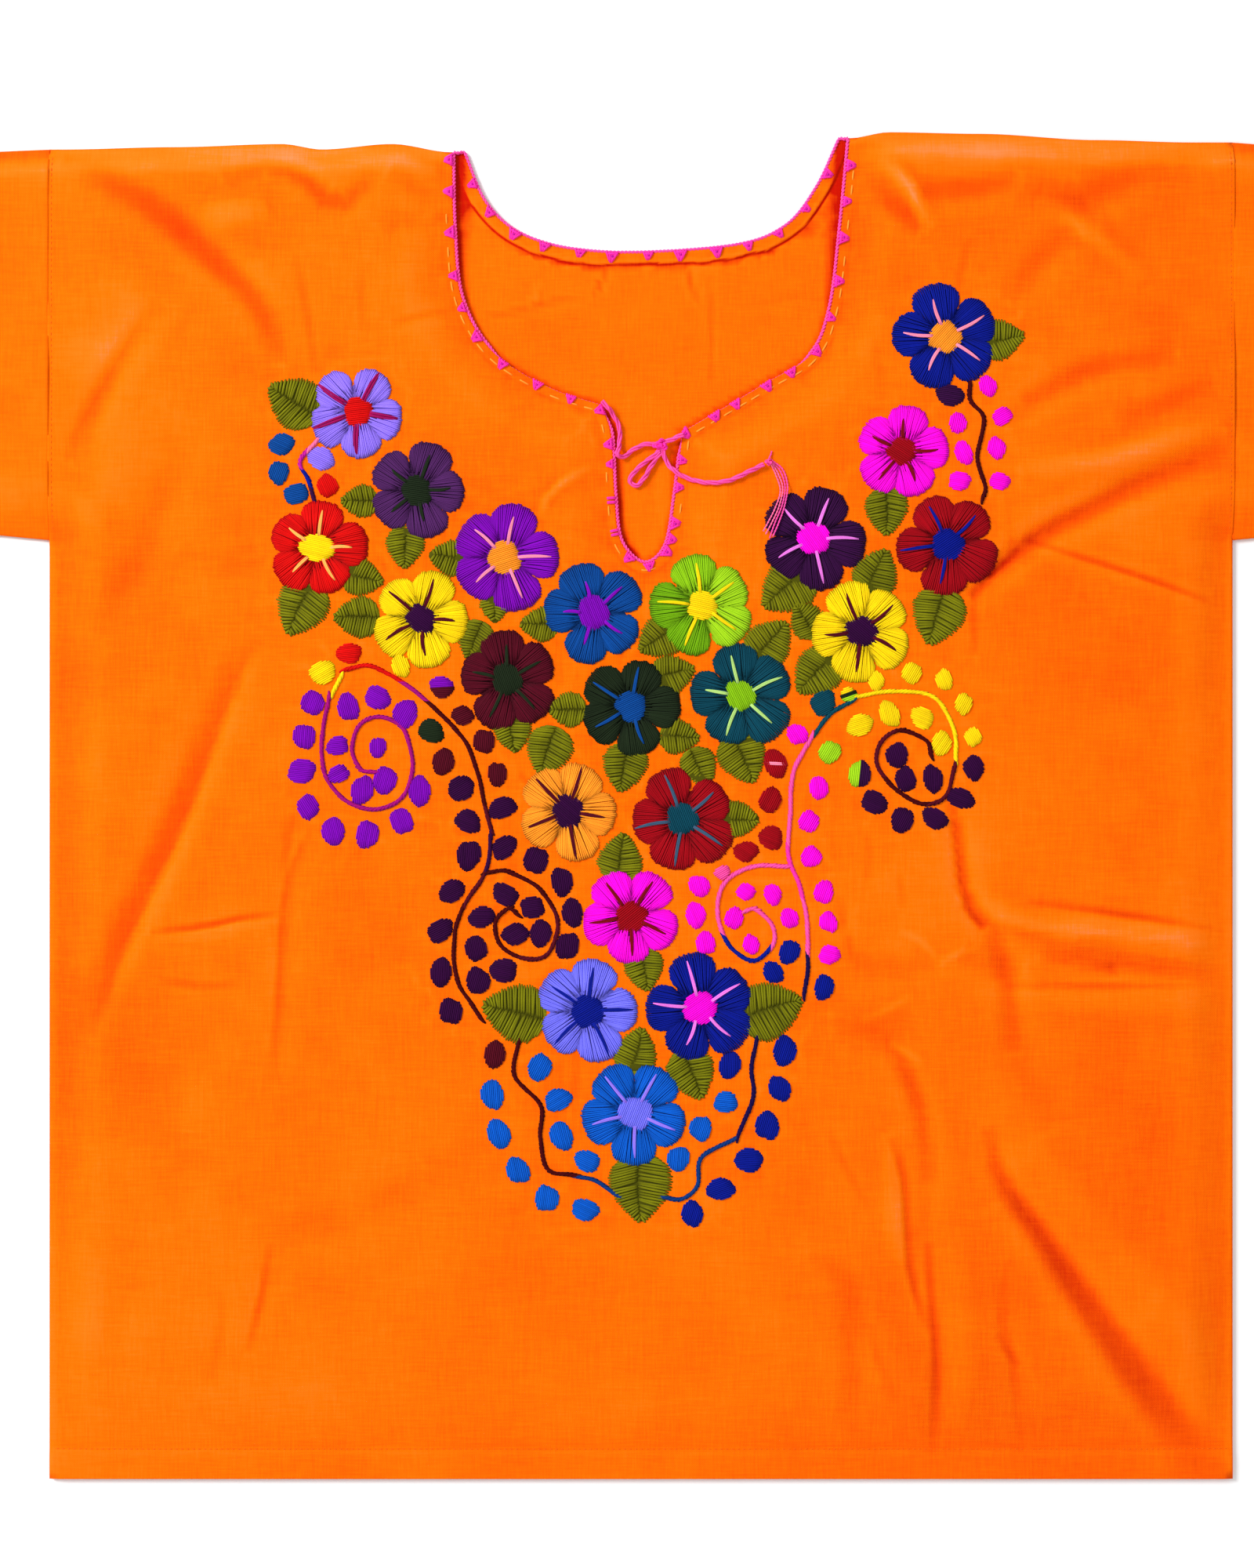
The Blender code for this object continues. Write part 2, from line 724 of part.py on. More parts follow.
def make_sleeve(name, side, material, collection):
    """A short straight sleeve, pressed flat, open at the armhole and at the cuff."""
    neckline = front_neckline()
    first = BODY_HALF_WIDTH + SEAM_GAP
    stations = 8
    vertices, loops = [], []
    for i in range(stations):
        x = side * (first + (CUFF_X - first) * i / (stations - 1))
        outer, inner = sleeve_section(x, neckline)
        loops.append((len(vertices), len(vertices) + len(outer)))
        vertices += outer + inner
    around_count = len(outer)
    faces = []
    for (outer_a, inner_a), (outer_b, inner_b) in zip(loops, loops[1:]):
        for k in range(around_count):
            j = (k + 1) % around_count
            faces.append((outer_a + k, outer_a + j, outer_b + j, outer_b + k))
            faces.append((inner_a + j, inner_a + k, inner_b + k, inner_b + j))
    for outer, inner in (loops[0], loops[-1]):
        for k in range(around_count):
            j = (k + 1) % around_count
            faces.append((outer + k, outer + j, inner + j, inner + k))
    return new_object(name, vertices, faces, material, collection)


def make_tube(name, line, radius, material, collection):
    """A round cord along these points in millimetres, with closed ends."""
    curve = bpy.data.curves.new(name, "CURVE")
    curve.dimensions = "3D"
    curve.bevel_depth = radius * MM
    curve.bevel_resolution = 2
    curve.use_fill_caps = True
    spline = curve.splines.new("POLY")
    spline.points.add(len(line) - 1)
    for target, point in zip(spline.points, line):
        target.co = (*(Vector(point) * MM), 1.0)
    curve.materials.append(material)
    obj = bpy.data.objects.new(name, curve)
    collection.objects.link(obj)
    return obj


def make_edgings(material, collection):
    """The crocheted cord along the front's neck and slit, and the one along the back's neck."""
    reach = EDGING_RADIUS + SEAM_GAP
    neckline = front_neckline()
    level = WALL + SEAM_GAP + NECK_LIE + WALL / 2 + 0.2
    front = beside(neckline, reach)[2:-2]
    front = [(p.x, p.y, level) for p in front]
    back = [(p.x, p.y, EDGING_RADIUS + 0.1) for p in beside(back_neckline(), reach)[3:-3]]
    return [
        make_tube("edging_front", front, EDGING_RADIUS, material, collection),
        make_tube("edging_back", back, EDGING_RADIUS, material, collection),
    ]


def surface_of(obj):
    """The object's faces in millimetres, to be looked down on."""
    graph = bpy.context.evaluated_depsgraph_get()
    mesh = obj.evaluated_get(graph).to_mesh()
    faces = [list(polygon.vertices) for polygon in mesh.polygons]
    return BVHTree.FromPolygons([vertex.co / MM for vertex in mesh.vertices], faces)


def top_near(surfaces, place, reach):
    """The highest point of the surfaces within this reach of the place."""
    best = 0.0
    for turn in range(9):
        aside = Vector((math.cos(turn * math.tau / 8), math.sin(turn * math.tau / 8))) * reach * (turn < 8)
        for surface in surfaces:
            hit = surface.ray_cast(Vector((place.x + aside.x, place.y + aside.y, 100.0)), Vector((0, 0, -1)))[0]
            best = max(best, hit.z if hit else 0.0)
    return best


def resting_line(route, radius, step, surfaces):
    """The smooth line through the route's places, on top of what lies under it."""
    plan = curve_through([Vector((point.x, point.y, lift)) for point, lift in route], step)
    heights = [top_near(surfaces, p, radius) + SEAM_GAP + radius + p.z for p in plan]
    for _ in range(3):
        ends = [heights[0], *heights, heights[-1]]
        heights = [max(here, (a + b) / 2) for a, here, b in zip(ends, heights, ends[2:])]
    return [Vector((p.x, p.y, z)) for p, z in zip(plan, heights)]


def tie_line(points, surfaces):
    route = [(chart((p.x, p.y)), p.lift) for p in points]
    return resting_line(route, TIE_RADIUS, TIE_RADIUS * 1.6, surfaces)


def as_mesh_object(obj, collection):
    """The curve made a mesh with its caps welded, and the curve removed."""
    graph = bpy.context.evaluated_depsgraph_get()
    mesh = bpy.data.meshes.new_from_object(obj.evaluated_get(graph))
    body = bmesh.new()
    body.from_mesh(mesh)
    bmesh.ops.remove_doubles(body, verts=body.verts, dist=1e-6)
    body.to_mesh(mesh)
    body.free()
    made = bpy.data.objects.new(obj.name + "_mesh", mesh)
    made.matrix_world = obj.matrix_world
    collection.objects.link(made)
    bpy.data.objects.remove(obj, do_unlink=True)
    return made


def make_ball(name, place, size, material, collection):
    body = bmesh.new()
    bmesh.ops.create_icosphere(body, subdivisions=2, radius=0.5)
    for vertex in body.verts:
        vertex.co = Vector((vertex.co.x * size[0], vertex.co.y * size[1], vertex.co.z * size[2]))
        vertex.co = (vertex.co + place) * MM
    mesh = bpy.data.meshes.new(name)
    body.to_mesh(mesh)
    body.free()
    mesh.materials.append(material)
    obj = bpy.data.objects.new(name, mesh)
    collection.objects.link(obj)
    return obj


def make_tie(material, collection, cutters, surfaces):
    """The yarn tie: a strand from each side of the slit, the knot with its one bow, and the free end."""
    for name, points in (
        ("tie_strand_left", TIE_LEFT),
        ("tie_strand_right", TIE_RIGHT),
        ("tie_bow", TIE_BOW),
        ("tie_free_end", TIE_FREE_END),
    ):
        make_tube(name, tie_line(points, surfaces), TIE_RADIUS, material, collection)
    knot = chart(KNOT_PLACE)
    place = Vector((knot.x, knot.y, WALL + SEAM_GAP + KNOT_SIZE[2] / 2))
    make_ball("tie_knot", place, KNOT_SIZE, material, collection)

    middle = chart((TASSEL_HEAD.x, TASSEL_HEAD.y))
    lift = TASSEL_HEAD_RADIUS + SEAM_GAP
    middle = Vector((middle.x, middle.y, top_near(surfaces, middle, TASSEL_HEAD_RADIUS) + lift))
    head = make_ball("tie_tassel", middle, [TASSEL_HEAD_RADIUS * 2] * 3, material, collection)
    for index, points in enumerate(TASSEL_THREADS):
        route = [(chart(point), 0.0) for point in points]
        line = resting_line(route, TASSEL_THREAD_RADIUS, TASSEL_THREAD_RADIUS * 7, surfaces)
        thread = make_tube(f"thread {index}", [middle, *line], TASSEL_THREAD_RADIUS, material, cutters)
        thread.data.bevel_resolution = 0
        thread = as_mesh_object(thread, cutters)
        thread.hide_render = True
        thread.display_type = "WIRE"
        union = head.modifiers.new(f"thread {index}", "BOOLEAN")
        union.operation = "UNION"
        union.object = thread


def main():
    clear_scene()
    collection = parts_collection()
    cutters = bpy.data.collections.new("joined into the tassel")
    bpy.context.scene.collection.children.link(cutters)
    cotton = make_material("orange cotton", (1.0, 0.18, 0.0), 0.85)
    yarn = make_material("pink yarn", (1.0, 0.06, 0.40), 0.8)
    pieces = [make_back_panel(cotton, collection), make_front_panel(cotton, collection)]
    make_sleeve("sleeve_left", -1, cotton, collection)
    make_sleeve("sleeve_right", 1, cotton, collection)
    pieces += make_edgings(yarn, collection)
    bpy.context.view_layer.update()
    make_tie(yarn, collection, cutters, [surface_of(piece) for piece in pieces])


main()
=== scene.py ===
import math
from collections import namedtuple

import bpy
import numpy as np
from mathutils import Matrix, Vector
from mathutils.geometry import delaunay_2d_cdt


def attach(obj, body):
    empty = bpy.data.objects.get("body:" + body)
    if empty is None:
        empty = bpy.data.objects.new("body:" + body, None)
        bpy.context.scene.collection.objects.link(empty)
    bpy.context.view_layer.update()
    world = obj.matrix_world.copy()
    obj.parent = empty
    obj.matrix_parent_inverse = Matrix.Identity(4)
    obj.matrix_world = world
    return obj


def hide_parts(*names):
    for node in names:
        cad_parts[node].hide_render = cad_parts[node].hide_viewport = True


# Embroidered blouse laid flat, front up. The plans below are in millimetres, the meshes in metres.
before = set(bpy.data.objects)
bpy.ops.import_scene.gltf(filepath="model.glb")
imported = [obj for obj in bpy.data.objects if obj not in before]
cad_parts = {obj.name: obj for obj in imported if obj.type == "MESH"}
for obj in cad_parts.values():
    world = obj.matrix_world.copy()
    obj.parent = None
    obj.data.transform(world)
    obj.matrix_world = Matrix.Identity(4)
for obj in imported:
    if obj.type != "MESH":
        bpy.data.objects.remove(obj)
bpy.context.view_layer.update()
mm = 0.001
print("frame loaded:", len(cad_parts), "nodes")


# Settings for the whole garment, as the cut in the part's source has them
cut = {
    "halfWidth": 355.0,
    "shoulderY": 400.0,
    "hemY": -403.0,
    "underarmY": 160.0,
    "cuffX": 480.0,
    "cuffTopY": 389.0,
    "cuffBottomY": 172.0,
    "wall": 1.2,  # of the solids
    "clothThickness": 0.7,
    "seamGap": 0.3,
}
lying = {
    "loft": 4.2,  # the cloth lies a little fuller than the solids
    "foldGain": 1.12,
    "creaseGain": 0.7,
    "shoulderRoll": 15.0,
    "sideRoll": 34.0,
    "hemFade": 60.0,
    "neckFade": 32.0,
    "neckLie": 0.5,
}
chart = {"step": 0.47, "axis": 818, "shoulder": 178}  # millimetres a step, and where its middle is
neckWindow = {"side": 170.0, "low": 110.0}  # farther out, the necklines shape nothing
curveSteps = 24  # between two points of a curve
atOnce = 4000  # points worked out together, to hold less in memory
farAway = 1e9

# A skewed fold is wider on its left than on its right, and a flared one widens along its length
Fold = namedtuple("Fold", "points halfWidth height skew flare", defaults=(0.0, 0.0))
Flower = namedtuple("Flower", "x y turn size petals centre rays reach rayWide", defaults=(1.0,))
Leaf = namedtuple("Leaf", "x y tipX tipY")
Berries = namedtuple("Berries", "count points colours size lean", defaults=(1.0, None))
Vine = namedtuple("Vine", "points colours")

leftShoulder = ((80, 190), (220, 187), (360, 183), (410, 190), (500, 183), (577, 194))
rightShoulder = ((1084, 176), (1135, 168), (1250, 170), (1400, 178), (1522, 181))
frontNeckLeft = ((577, 194), (579, 290), (589, 380), (628, 448), (700, 494), (768, 517))
slitLine = ((768, 517), (780, 556), (784, 630), (792, 690), (822, 719), (850, 696), (862, 630), (871, 551))
frontNeckRight = ((871, 551), (975, 490), (1035, 452), (1060, 392), (1073, 290), (1084, 176))
backNeckLine = (
    (590, 190), (622, 262), (680, 305), (780, 322), (930, 314), (1000, 290), (1042, 240), (1073, 174),
)

# The main folds lie where the part's own do
mainFolds = (
    Fold(((85, 195), (150, 240), (210, 275), (270, 330), (330, 390), (360, 465)), 10.2, -2.9, 0.0, -0.2),
    Fold(((70, 400), (140, 372), (230, 420)), 22, 1.0),
    Fold(((205, 385), (160, 450), (125, 510), (88, 590)), 7.5, -1.6, 0.15),
    Fold(((285, 232), (340, 213), (390, 230), (425, 262), (456, 250), (478, 215)), 7.0, -1.5),
    Fold(((500, 215), (530, 238), (560, 262)), 9, -1.2),
    Fold(((490, 300), (520, 282), (570, 290)), 9, -0.8),
    Fold(((262, 262), (300, 276), (345, 262)), 9, 1.0),
    Fold(((245, 540), (205, 640), (172, 720), (120, 815)), 12, -1.3),
    Fold(((180, 520), (140, 610), (90, 690)), 13, 0.9),
    Fold(((225, 706), (280, 722), (345, 712)), 11, -0.7),
    Fold(
        ((328, 805), (295, 870), (268, 940), (225, 1050), (165, 1180), (138, 1245), (112, 1325)),
        9, -3.0, -0.2,
    ),
    Fold(((190, 850), (140, 980), (95, 1110)), 20, 0.7),
    Fold(((100, 1240), (72, 1330), (62, 1430)), 13, -1.2),
    Fold(((320, 1565), (400, 1562), (480, 1540), (545, 1490)), 13, -0.9),
    Fold(((240, 1440), (228, 1500), (238, 1560)), 15, -0.6),
    Fold(((165, 1620), (140, 1700), (130, 1800)), 12, -0.7),
    Fold(((400, 1205), (480, 1222), (560, 1208)), 12, -0.6),
    Fold(((1545, 202), (1480, 212), (1420, 232), (1370, 258), (1300, 236)), 12, -2.2, 0.0, -0.2),
    Fold(((1300, 230), (1240, 241), (1165, 244)), 8.5, -2.0),
    Fold(((1100, 226), (1140, 262), (1178, 296)), 8, -1.5),
    Fold(((1120, 205), (1160, 240), (1184, 300)), 5, 1.4),
    Fold(((1320, 250), (1390, 300), (1460, 362)), 7, 1.0),
    Fold(((1372, 292), (1320, 335), (1282, 385)), 10, -1.4),
    Fold(((1500, 452), (1400, 469), (1340, 496), (1278, 540)), 8.5, -1.9),
    Fold(((1550, 488), (1480, 516), (1420, 540)), 8.5, -1.4),
    Fold(((1560, 538), (1460, 572), (1400, 590), (1290, 602)), 8.5, 2.2),
    Fold(((1580, 572), (1450, 620), (1400, 645), (1330, 680), (1270, 728), (1235, 766)), 8, -3.0, 0.1, -0.25),
    Fold(((1560, 690), (1450, 700), (1380, 760)), 20, 0.7),
    Fold(((1212, 1012), (1222, 1080), (1230, 1140), (1258, 1184)), 5, -2.2, 0.2),
    Fold(((1225, 1145), (1262, 1186), (1282, 1245), (1292, 1345)), 7.5, -1.6),
    Fold(((1225, 1212), (1262, 1232), (1305, 1236)), 10, -1.0),
    Fold(((1232, 1150), (1320, 1178), (1420, 1188), (1580, 1206)), 7, 2.0, 0.2),
    Fold(((1325, 1216), (1400, 1228), (1460, 1236), (1600, 1244)), 6.5, -2.3, 0.1),
    Fold(((1290, 1270), (1420, 1278), (1560, 1280)), 8, 0.8),
    Fold(((1066, 1206), (1110, 1232), (1200, 1228)), 9, -0.9),
    Fold(((1062, 1312), (1110, 1316), (1170, 1304)), 10, -0.9),
    Fold(((1130, 1318), (1165, 1390), (1176, 1435), (1184, 1510)), 6.5, -1.4),
    Fold(((1180, 1480), (1176, 1560), (1184, 1640)), 8, -1.0),
    Fold(((1128, 1440), (1138, 1520), (1146, 1610)), 7, 0.9),
    Fold(((1030, 1600), (1080, 1630), (1086, 1720), (1084, 1880)), 9, -1.1, 0.0, 0.2),
    Fold(((1215, 1390), (1232, 1470), (1262, 1540)), 13, -1.0),
    Fold(
        ((1258, 1432), (1276, 1502), (1320, 1566), (1370, 1640), (1420, 1710), (1470, 1780), (1620, 1990)),
        11, -3.9, 0.0, 0.5,
    ),
    Fold(((1270, 1400), (1350, 1515), (1430, 1605), (1600, 1810)), 15, 1.3, 0.0, 0.2),
    Fold(((1212, 1560), (1225, 1680), (1228, 1860)), 11, 1.1),
    Fold(((1292, 1270), (1302, 1350), (1340, 1440)), 12, -1.1),
)
fineCreases = (
    Fold(((500, 413), (540, 405), (592, 395)), 3.0, -0.8),
    Fold(((378, 320), (388, 370), (396, 420), (404, 480)), 3.6, -0.6),
    Fold(((688, 665), (698, 636), (725, 612), (768, 590)), 3.6, 1.2),
    Fold(((690, 505), (730, 522), (762, 566)), 4, 0.9),
    Fold(((190, 1189), (260, 1182), (300, 1173), (362, 1165)), 2.8, -1.5, 0.3),
    Fold(((200, 1250), (260, 1257), (310, 1256)), 3.2, -0.6),
    Fold(((405, 1050), (374, 1110), (363, 1170), (358, 1260), (350, 1385)), 4.6, -1.3, 0.3),
    Fold(((376, 1035), (367, 1075), (364, 1130)), 4, -0.8),
    Fold(((346, 1580), (338, 1640), (318, 1725)), 4, -1.2, 0.2),
    Fold(((285, 1640), (284, 1700), (270, 1770)), 5.5, -0.8),
    Fold(((1143, 1186), (1170, 1196), (1198, 1226)), 3.0, 0.55),
    Fold(((1190, 1236), (1212, 1218), (1250, 1208)), 3.0, 0.5),
    Fold(((1095, 1300), (1130, 1288), (1166, 1266)), 3.2, 0.5),
    Fold(((1132, 1326), (1156, 1342), (1180, 1356)), 3.2, 0.5),
    Fold(((1306, 1150), (1400, 1162), (1480, 1174), (1570, 1188)), 3.0, -1.1, 0.3),
    Fold(((1330, 1208), (1400, 1214), (1470, 1222), (1560, 1230)), 2.8, -0.4, 0.3),
    Fold(((1280, 1257), (1380, 1257), (1460, 1257), (1570, 1256)), 2.8, -0.8),
    Fold(((1136, 1446), (1152, 1500), (1157, 1570), (1162, 1625), (1184, 1700)), 4.0, -1.7, 0.2),
    Fold(((1184, 1580), (1187, 1650), (1192, 1710), (1193, 1770), (1188, 1900)), 4.4, -2.0, 0.1, 0.25),
    Fold(((1256, 1186), (1236, 1166), (1226, 1150)), 2.8, -0.8),
    Fold(((1300, 686), (1360, 706), (1450, 735), (1570, 778)), 2.6, -1.0, 0.2),
    Fold(((1305, 700), (1270, 728), (1236, 764)), 3.6, -1.2),
    Fold(((735, 1330), (736, 1370), (728, 1420)), 4, -0.7),
    Fold(((1070, 1140), (1078, 1190), (1086, 1226)), 4, -0.7),
    Fold(((1102, 1050), (1108, 1090), (1108, 1140)), 4, -0.5),
    Fold(((1146, 1110), (1150, 1140), (1152, 1165)), 3.4, -0.4),
    Fold(((660, 985), (676, 996), (690, 1012)), 3, -0.6),
    Fold(((1106, 1680), (1120, 1730), (1140, 1790)), 4.6, -0.6),
    Fold(((1050, 1430), (1080, 1490), (1108, 1546)), 3.6, -0.4),
    Fold(((1284, 1600), (1278, 1680), (1292, 1740), (1306, 1860)), 5, -1.1, 0.0, 0.2),
    Fold(((1270, 1695), (1284, 1722), (1300, 1742)), 3.4, -0.6),
    Fold(((1216, 392), (1224, 350), (1238, 300)), 4, -0.6),
    Fold(((1118, 430), (1122, 475), (1130, 520)), 5, -0.5),
    Fold(((1246, 740), (1242, 780), (1244, 840)), 3.6, -0.9),
    Fold(((470, 330), (462, 380), (470, 440)), 5, -0.5),
)
# Painted shade over broad parts of the front, and painted highlight where they are a little paler
broadShadeAndHighlight = (
    Fold(((1380, 1180), (1440, 1360), (1530, 1560), (1640, 1800)), 62, -0.1),
    Fold(((1150, 1560), (1260, 1700), (1340, 1820), (1420, 2000)), 56, -0.1),
    Fold(((1060, 1580), (1140, 1740), (1170, 1960)), 40, -0.09),
    Fold(((1290, 1480), (1370, 1640), (1470, 1780), (1620, 1990)), 15, -0.1, 0.0, 0.3),
    Fold(((1640, 230), (1450, 262), (1250, 262), (1040, 250)), 34, -0.08),
    Fold(((1090, 250), (1116, 340), (1120, 440)), 30, -0.08),
    Fold(((560, 560), (640, 650), (740, 640)), 26, -0.05),
    Fold(((230, 560), (310, 640), (330, 760)), 28, -0.05),
    Fold(((20, 194), (250, 194), (420, 196), (620, 194)), 7, 0.25),
    Fold(((1100, 178), (1250, 184), (1400, 186), (1640, 190)), 8, 0.25),
    Fold(((60, 660), (110, 1100), (90, 1700)), 55, -0.06),
    Fold(((60, 450), (140, 440), (190, 380)), 16, 0.14),
    Fold(((240, 262), (300, 276), (350, 264)), 10, 0.1),
    Fold(((1290, 660), (1400, 790), (1560, 850)), 44, -0.07),
    Fold(((1600, 380), (1450, 500), (1320, 480)), 44, -0.05),
    Fold(((1040, 1260), (1140, 1330), (1280, 1280)), 34, -0.07),
    Fold(((120, 210), (230, 290), (300, 360)), 24, -0.06),
    Fold(((250, 230), (400, 250), (560, 240)), 20, -0.05),
    Fold(((60, 1500), (250, 1640), (420, 1860)), 60, 0.05),
)
backCreases = (
    Fold(((772, 334), (770, 352), (758, 376)), 2.2, -0.5),
    Fold(((876, 332), (880, 356), (888, 384)), 2.4, -0.45),
    Fold(((690, 352), (682, 376), (672, 400)), 3.0, 0.35),
    Fold(((905, 345), (907, 420), (905, 500)), 2.6, -0.3),
    Fold(((606, 408), (660, 396), (700, 384), (750, 378)), 3.0, -0.45),
    Fold(((945, 400), (990, 396), (1040, 385)), 4.0, 0.3),
    Fold(((840, 560), (830, 620), (826, 690)), 5.0, -0.3),
)
undersideCreases = (
    Fold(((150, 300), (300, 390), (420, 520)), 9, 0.6),
    Fold(((1480, 420), (1380, 470), (1250, 560)), 8, 0.55),
    Fold(((300, 900), (290, 1200), (240, 1500)), 10, 0.6),
    Fold(((1100, 820), (1260, 880), (1420, 900)), 7, 0.5),
    Fold(((620, 640), (660, 840), (760, 1020)), 9, 0.5),
    Fold(((1010, 1180), (1000, 1440), (960, 1700)), 10, 0.6),
    Fold(((1330, 1300), (1420, 1540), (1450, 1780)), 9, 0.6),
    Fold(((540, 1240), (590, 1500), (600, 1820)), 7, 0.5),
    Fold(((820, 420), (880, 540), (900, 700)), 8, 0.45),
)


def srgb(red, green, blue):
    made = []
    for value in (red / 255, green / 255, blue / 255):
        made.append(value / 12.92 if value <= 0.04045 else ((value + 0.055) / 1.055) ** 2.4)
    return tuple(made)


yarnColours = {
    "periwinkle": srgb(146, 116, 240),
    "periwinkleBlue": srgb(118, 116, 246),
    "red": srgb(215, 10, 8),
    "yellow": srgb(252, 214, 8),
    "violet": srgb(128, 5, 180),
    "lightOrange": srgb(252, 150, 36),
    "peach": srgb(248, 140, 170),
    "darkPurple": srgb(50, 3, 56),
    "wineBrown": srgb(68, 2, 8),
    "inkBlue": srgb(24, 6, 68),
    "vineBlue": srgb(10, 52, 120),
    "nightPurple": srgb(52, 9, 60),
    "plum": srgb(78, 34, 92),
    "blackGreen": srgb(28, 40, 22),
    "blue": srgb(9, 70, 146),
    "lime": srgb(136, 190, 18),
    "limeLight": srgb(162, 212, 28),
    "limeDark": srgb(112, 168, 12),
    "grape": srgb(158, 10, 118),
    "magenta": srgb(255, 6, 222),
    "darkRed": srgb(158, 5, 20),
    "deepRed": srgb(122, 7, 18),
    "navy": srgb(7, 24, 138),
    "maroon": srgb(82, 8, 28),
    "teal": srgb(8, 68, 86),
    "slate": srgb(58, 86, 112),
    "midBlue": srgb(9, 90, 198),
    "olive": srgb(118, 118, 10),
    "pink": srgb(255, 80, 168),
    "rose": srgb(255, 110, 160),
    "hotPink": srgb(255, 50, 174),
    "orchid": srgb(190, 24, 150),
    "orchidPale": srgb(236, 120, 226),
    "wine": srgb(150, 8, 84),
    "apricot": srgb(254, 176, 84),
    "limePale": srgb(176, 216, 120),
    "stitchOrange": srgb(255, 150, 48),
    "seamOrange": srgb(240, 98, 8),
}

flowers = (
    Flower(457, 527, 62, 0.98, "periwinkle", "red", "wine", 1.06, 1.9),
    Flower(533, 627, 70, 1.01, "plum", "blackGreen", "blackGreen", 0.72),
    Flower(406, 700, 78, 1.02, "red", "yellow", "apricot", 0.78),
    Flower(645, 712, 74, 1.12, "violet", "lightOrange", "peach", 0.84),
    Flower(538, 790, 68, 0.99, "yellow", "darkPurple", "maroon", 0.84),
    Flower(758, 783, 36, 1.06, "blue", "violet", "violet", 0.72),
    Flower(895, 773, 34, 1.04, "lime", "yellow", "yellow", 0.84),
    Flower(1037, 688, 66, 1.07, "nightPurple", "magenta", "orchidPale", 0.84),
    Flower(1150, 577, 8, 0.97, "magenta", "darkRed", "deepRed", 0.76),
    Flower(1205, 432, 32, 1.09, "navy", "lightOrange", "peach", 0.84),
    Flower(1208, 695, 46, 1.06, "darkRed", "navy", "navy", 0.9),
    Flower(1098, 806, 42, 1.07, "yellow", "darkPurple", "maroon", 0.84),
    Flower(648, 868, 28, 1.02, "maroon", "blackGreen", "blackGreen", 0.84),
    Flower(805, 902, 68, 1.03, "blackGreen", "blue", "blue", 0.84),
    Flower(945, 888, 30, 1.09, "teal", "lime", "limePale", 0.84),
    Flower(725, 1035, 66, 1.04, "lightOrange", "darkPurple", "maroon", 0.92),
    Flower(871, 1045, 38, 1.09, "darkRed", "teal", "slate", 0.94),
    Flower(805, 1168, 50, 1.0, "magenta", "darkRed", "deepRed", 0.84),
    Flower(750, 1288, 4, 1.05, "periwinkleBlue", "navy", "navy", 0.92),
    Flower(893, 1285, 32, 1.11, "navy", "magenta", "orchidPale", 0.86),
    Flower(810, 1418, 54, 1.11, "midBlue", "periwinkleBlue", "periwinkle", 0.86),
)
leaves = [Leaf(*row) for row in (
    (375, 513, 343, 493), (458, 640, 434, 640), (518, 700, 517, 728), (572, 712, 546, 708),
    (465, 738, 492, 744), (385, 778, 368, 812), (455, 788, 425, 788), (632, 775, 632, 797),
    (606, 818, 596, 842), (687, 797, 662, 797), (722, 905, 697, 905), (655, 935, 659, 962),
    (700, 960, 690, 992), (860, 860, 888, 853), (840, 815, 814, 832), (868, 940, 894, 942),
    (797, 980, 791, 1012), (893, 980, 905, 1004), (948, 968, 962, 1000), (983, 818, 1005, 793),
    (1002, 752, 972, 777), (1028, 790, 1014, 768), (1040, 860, 1016, 885), (1118, 730, 1131, 700),
    (1130, 655, 1130, 686), (1278, 434, 1307, 428), (1195, 788, 1184, 825), (943, 1045, 970, 1045),
    (792, 1092, 796, 1060), (822, 1237, 826, 1265), (655, 1290, 614, 1280), (985, 1287, 1025, 1274),
    (812, 1338, 820, 1308), (883, 1370, 896, 1402), (817, 1515, 818, 1560),
)]
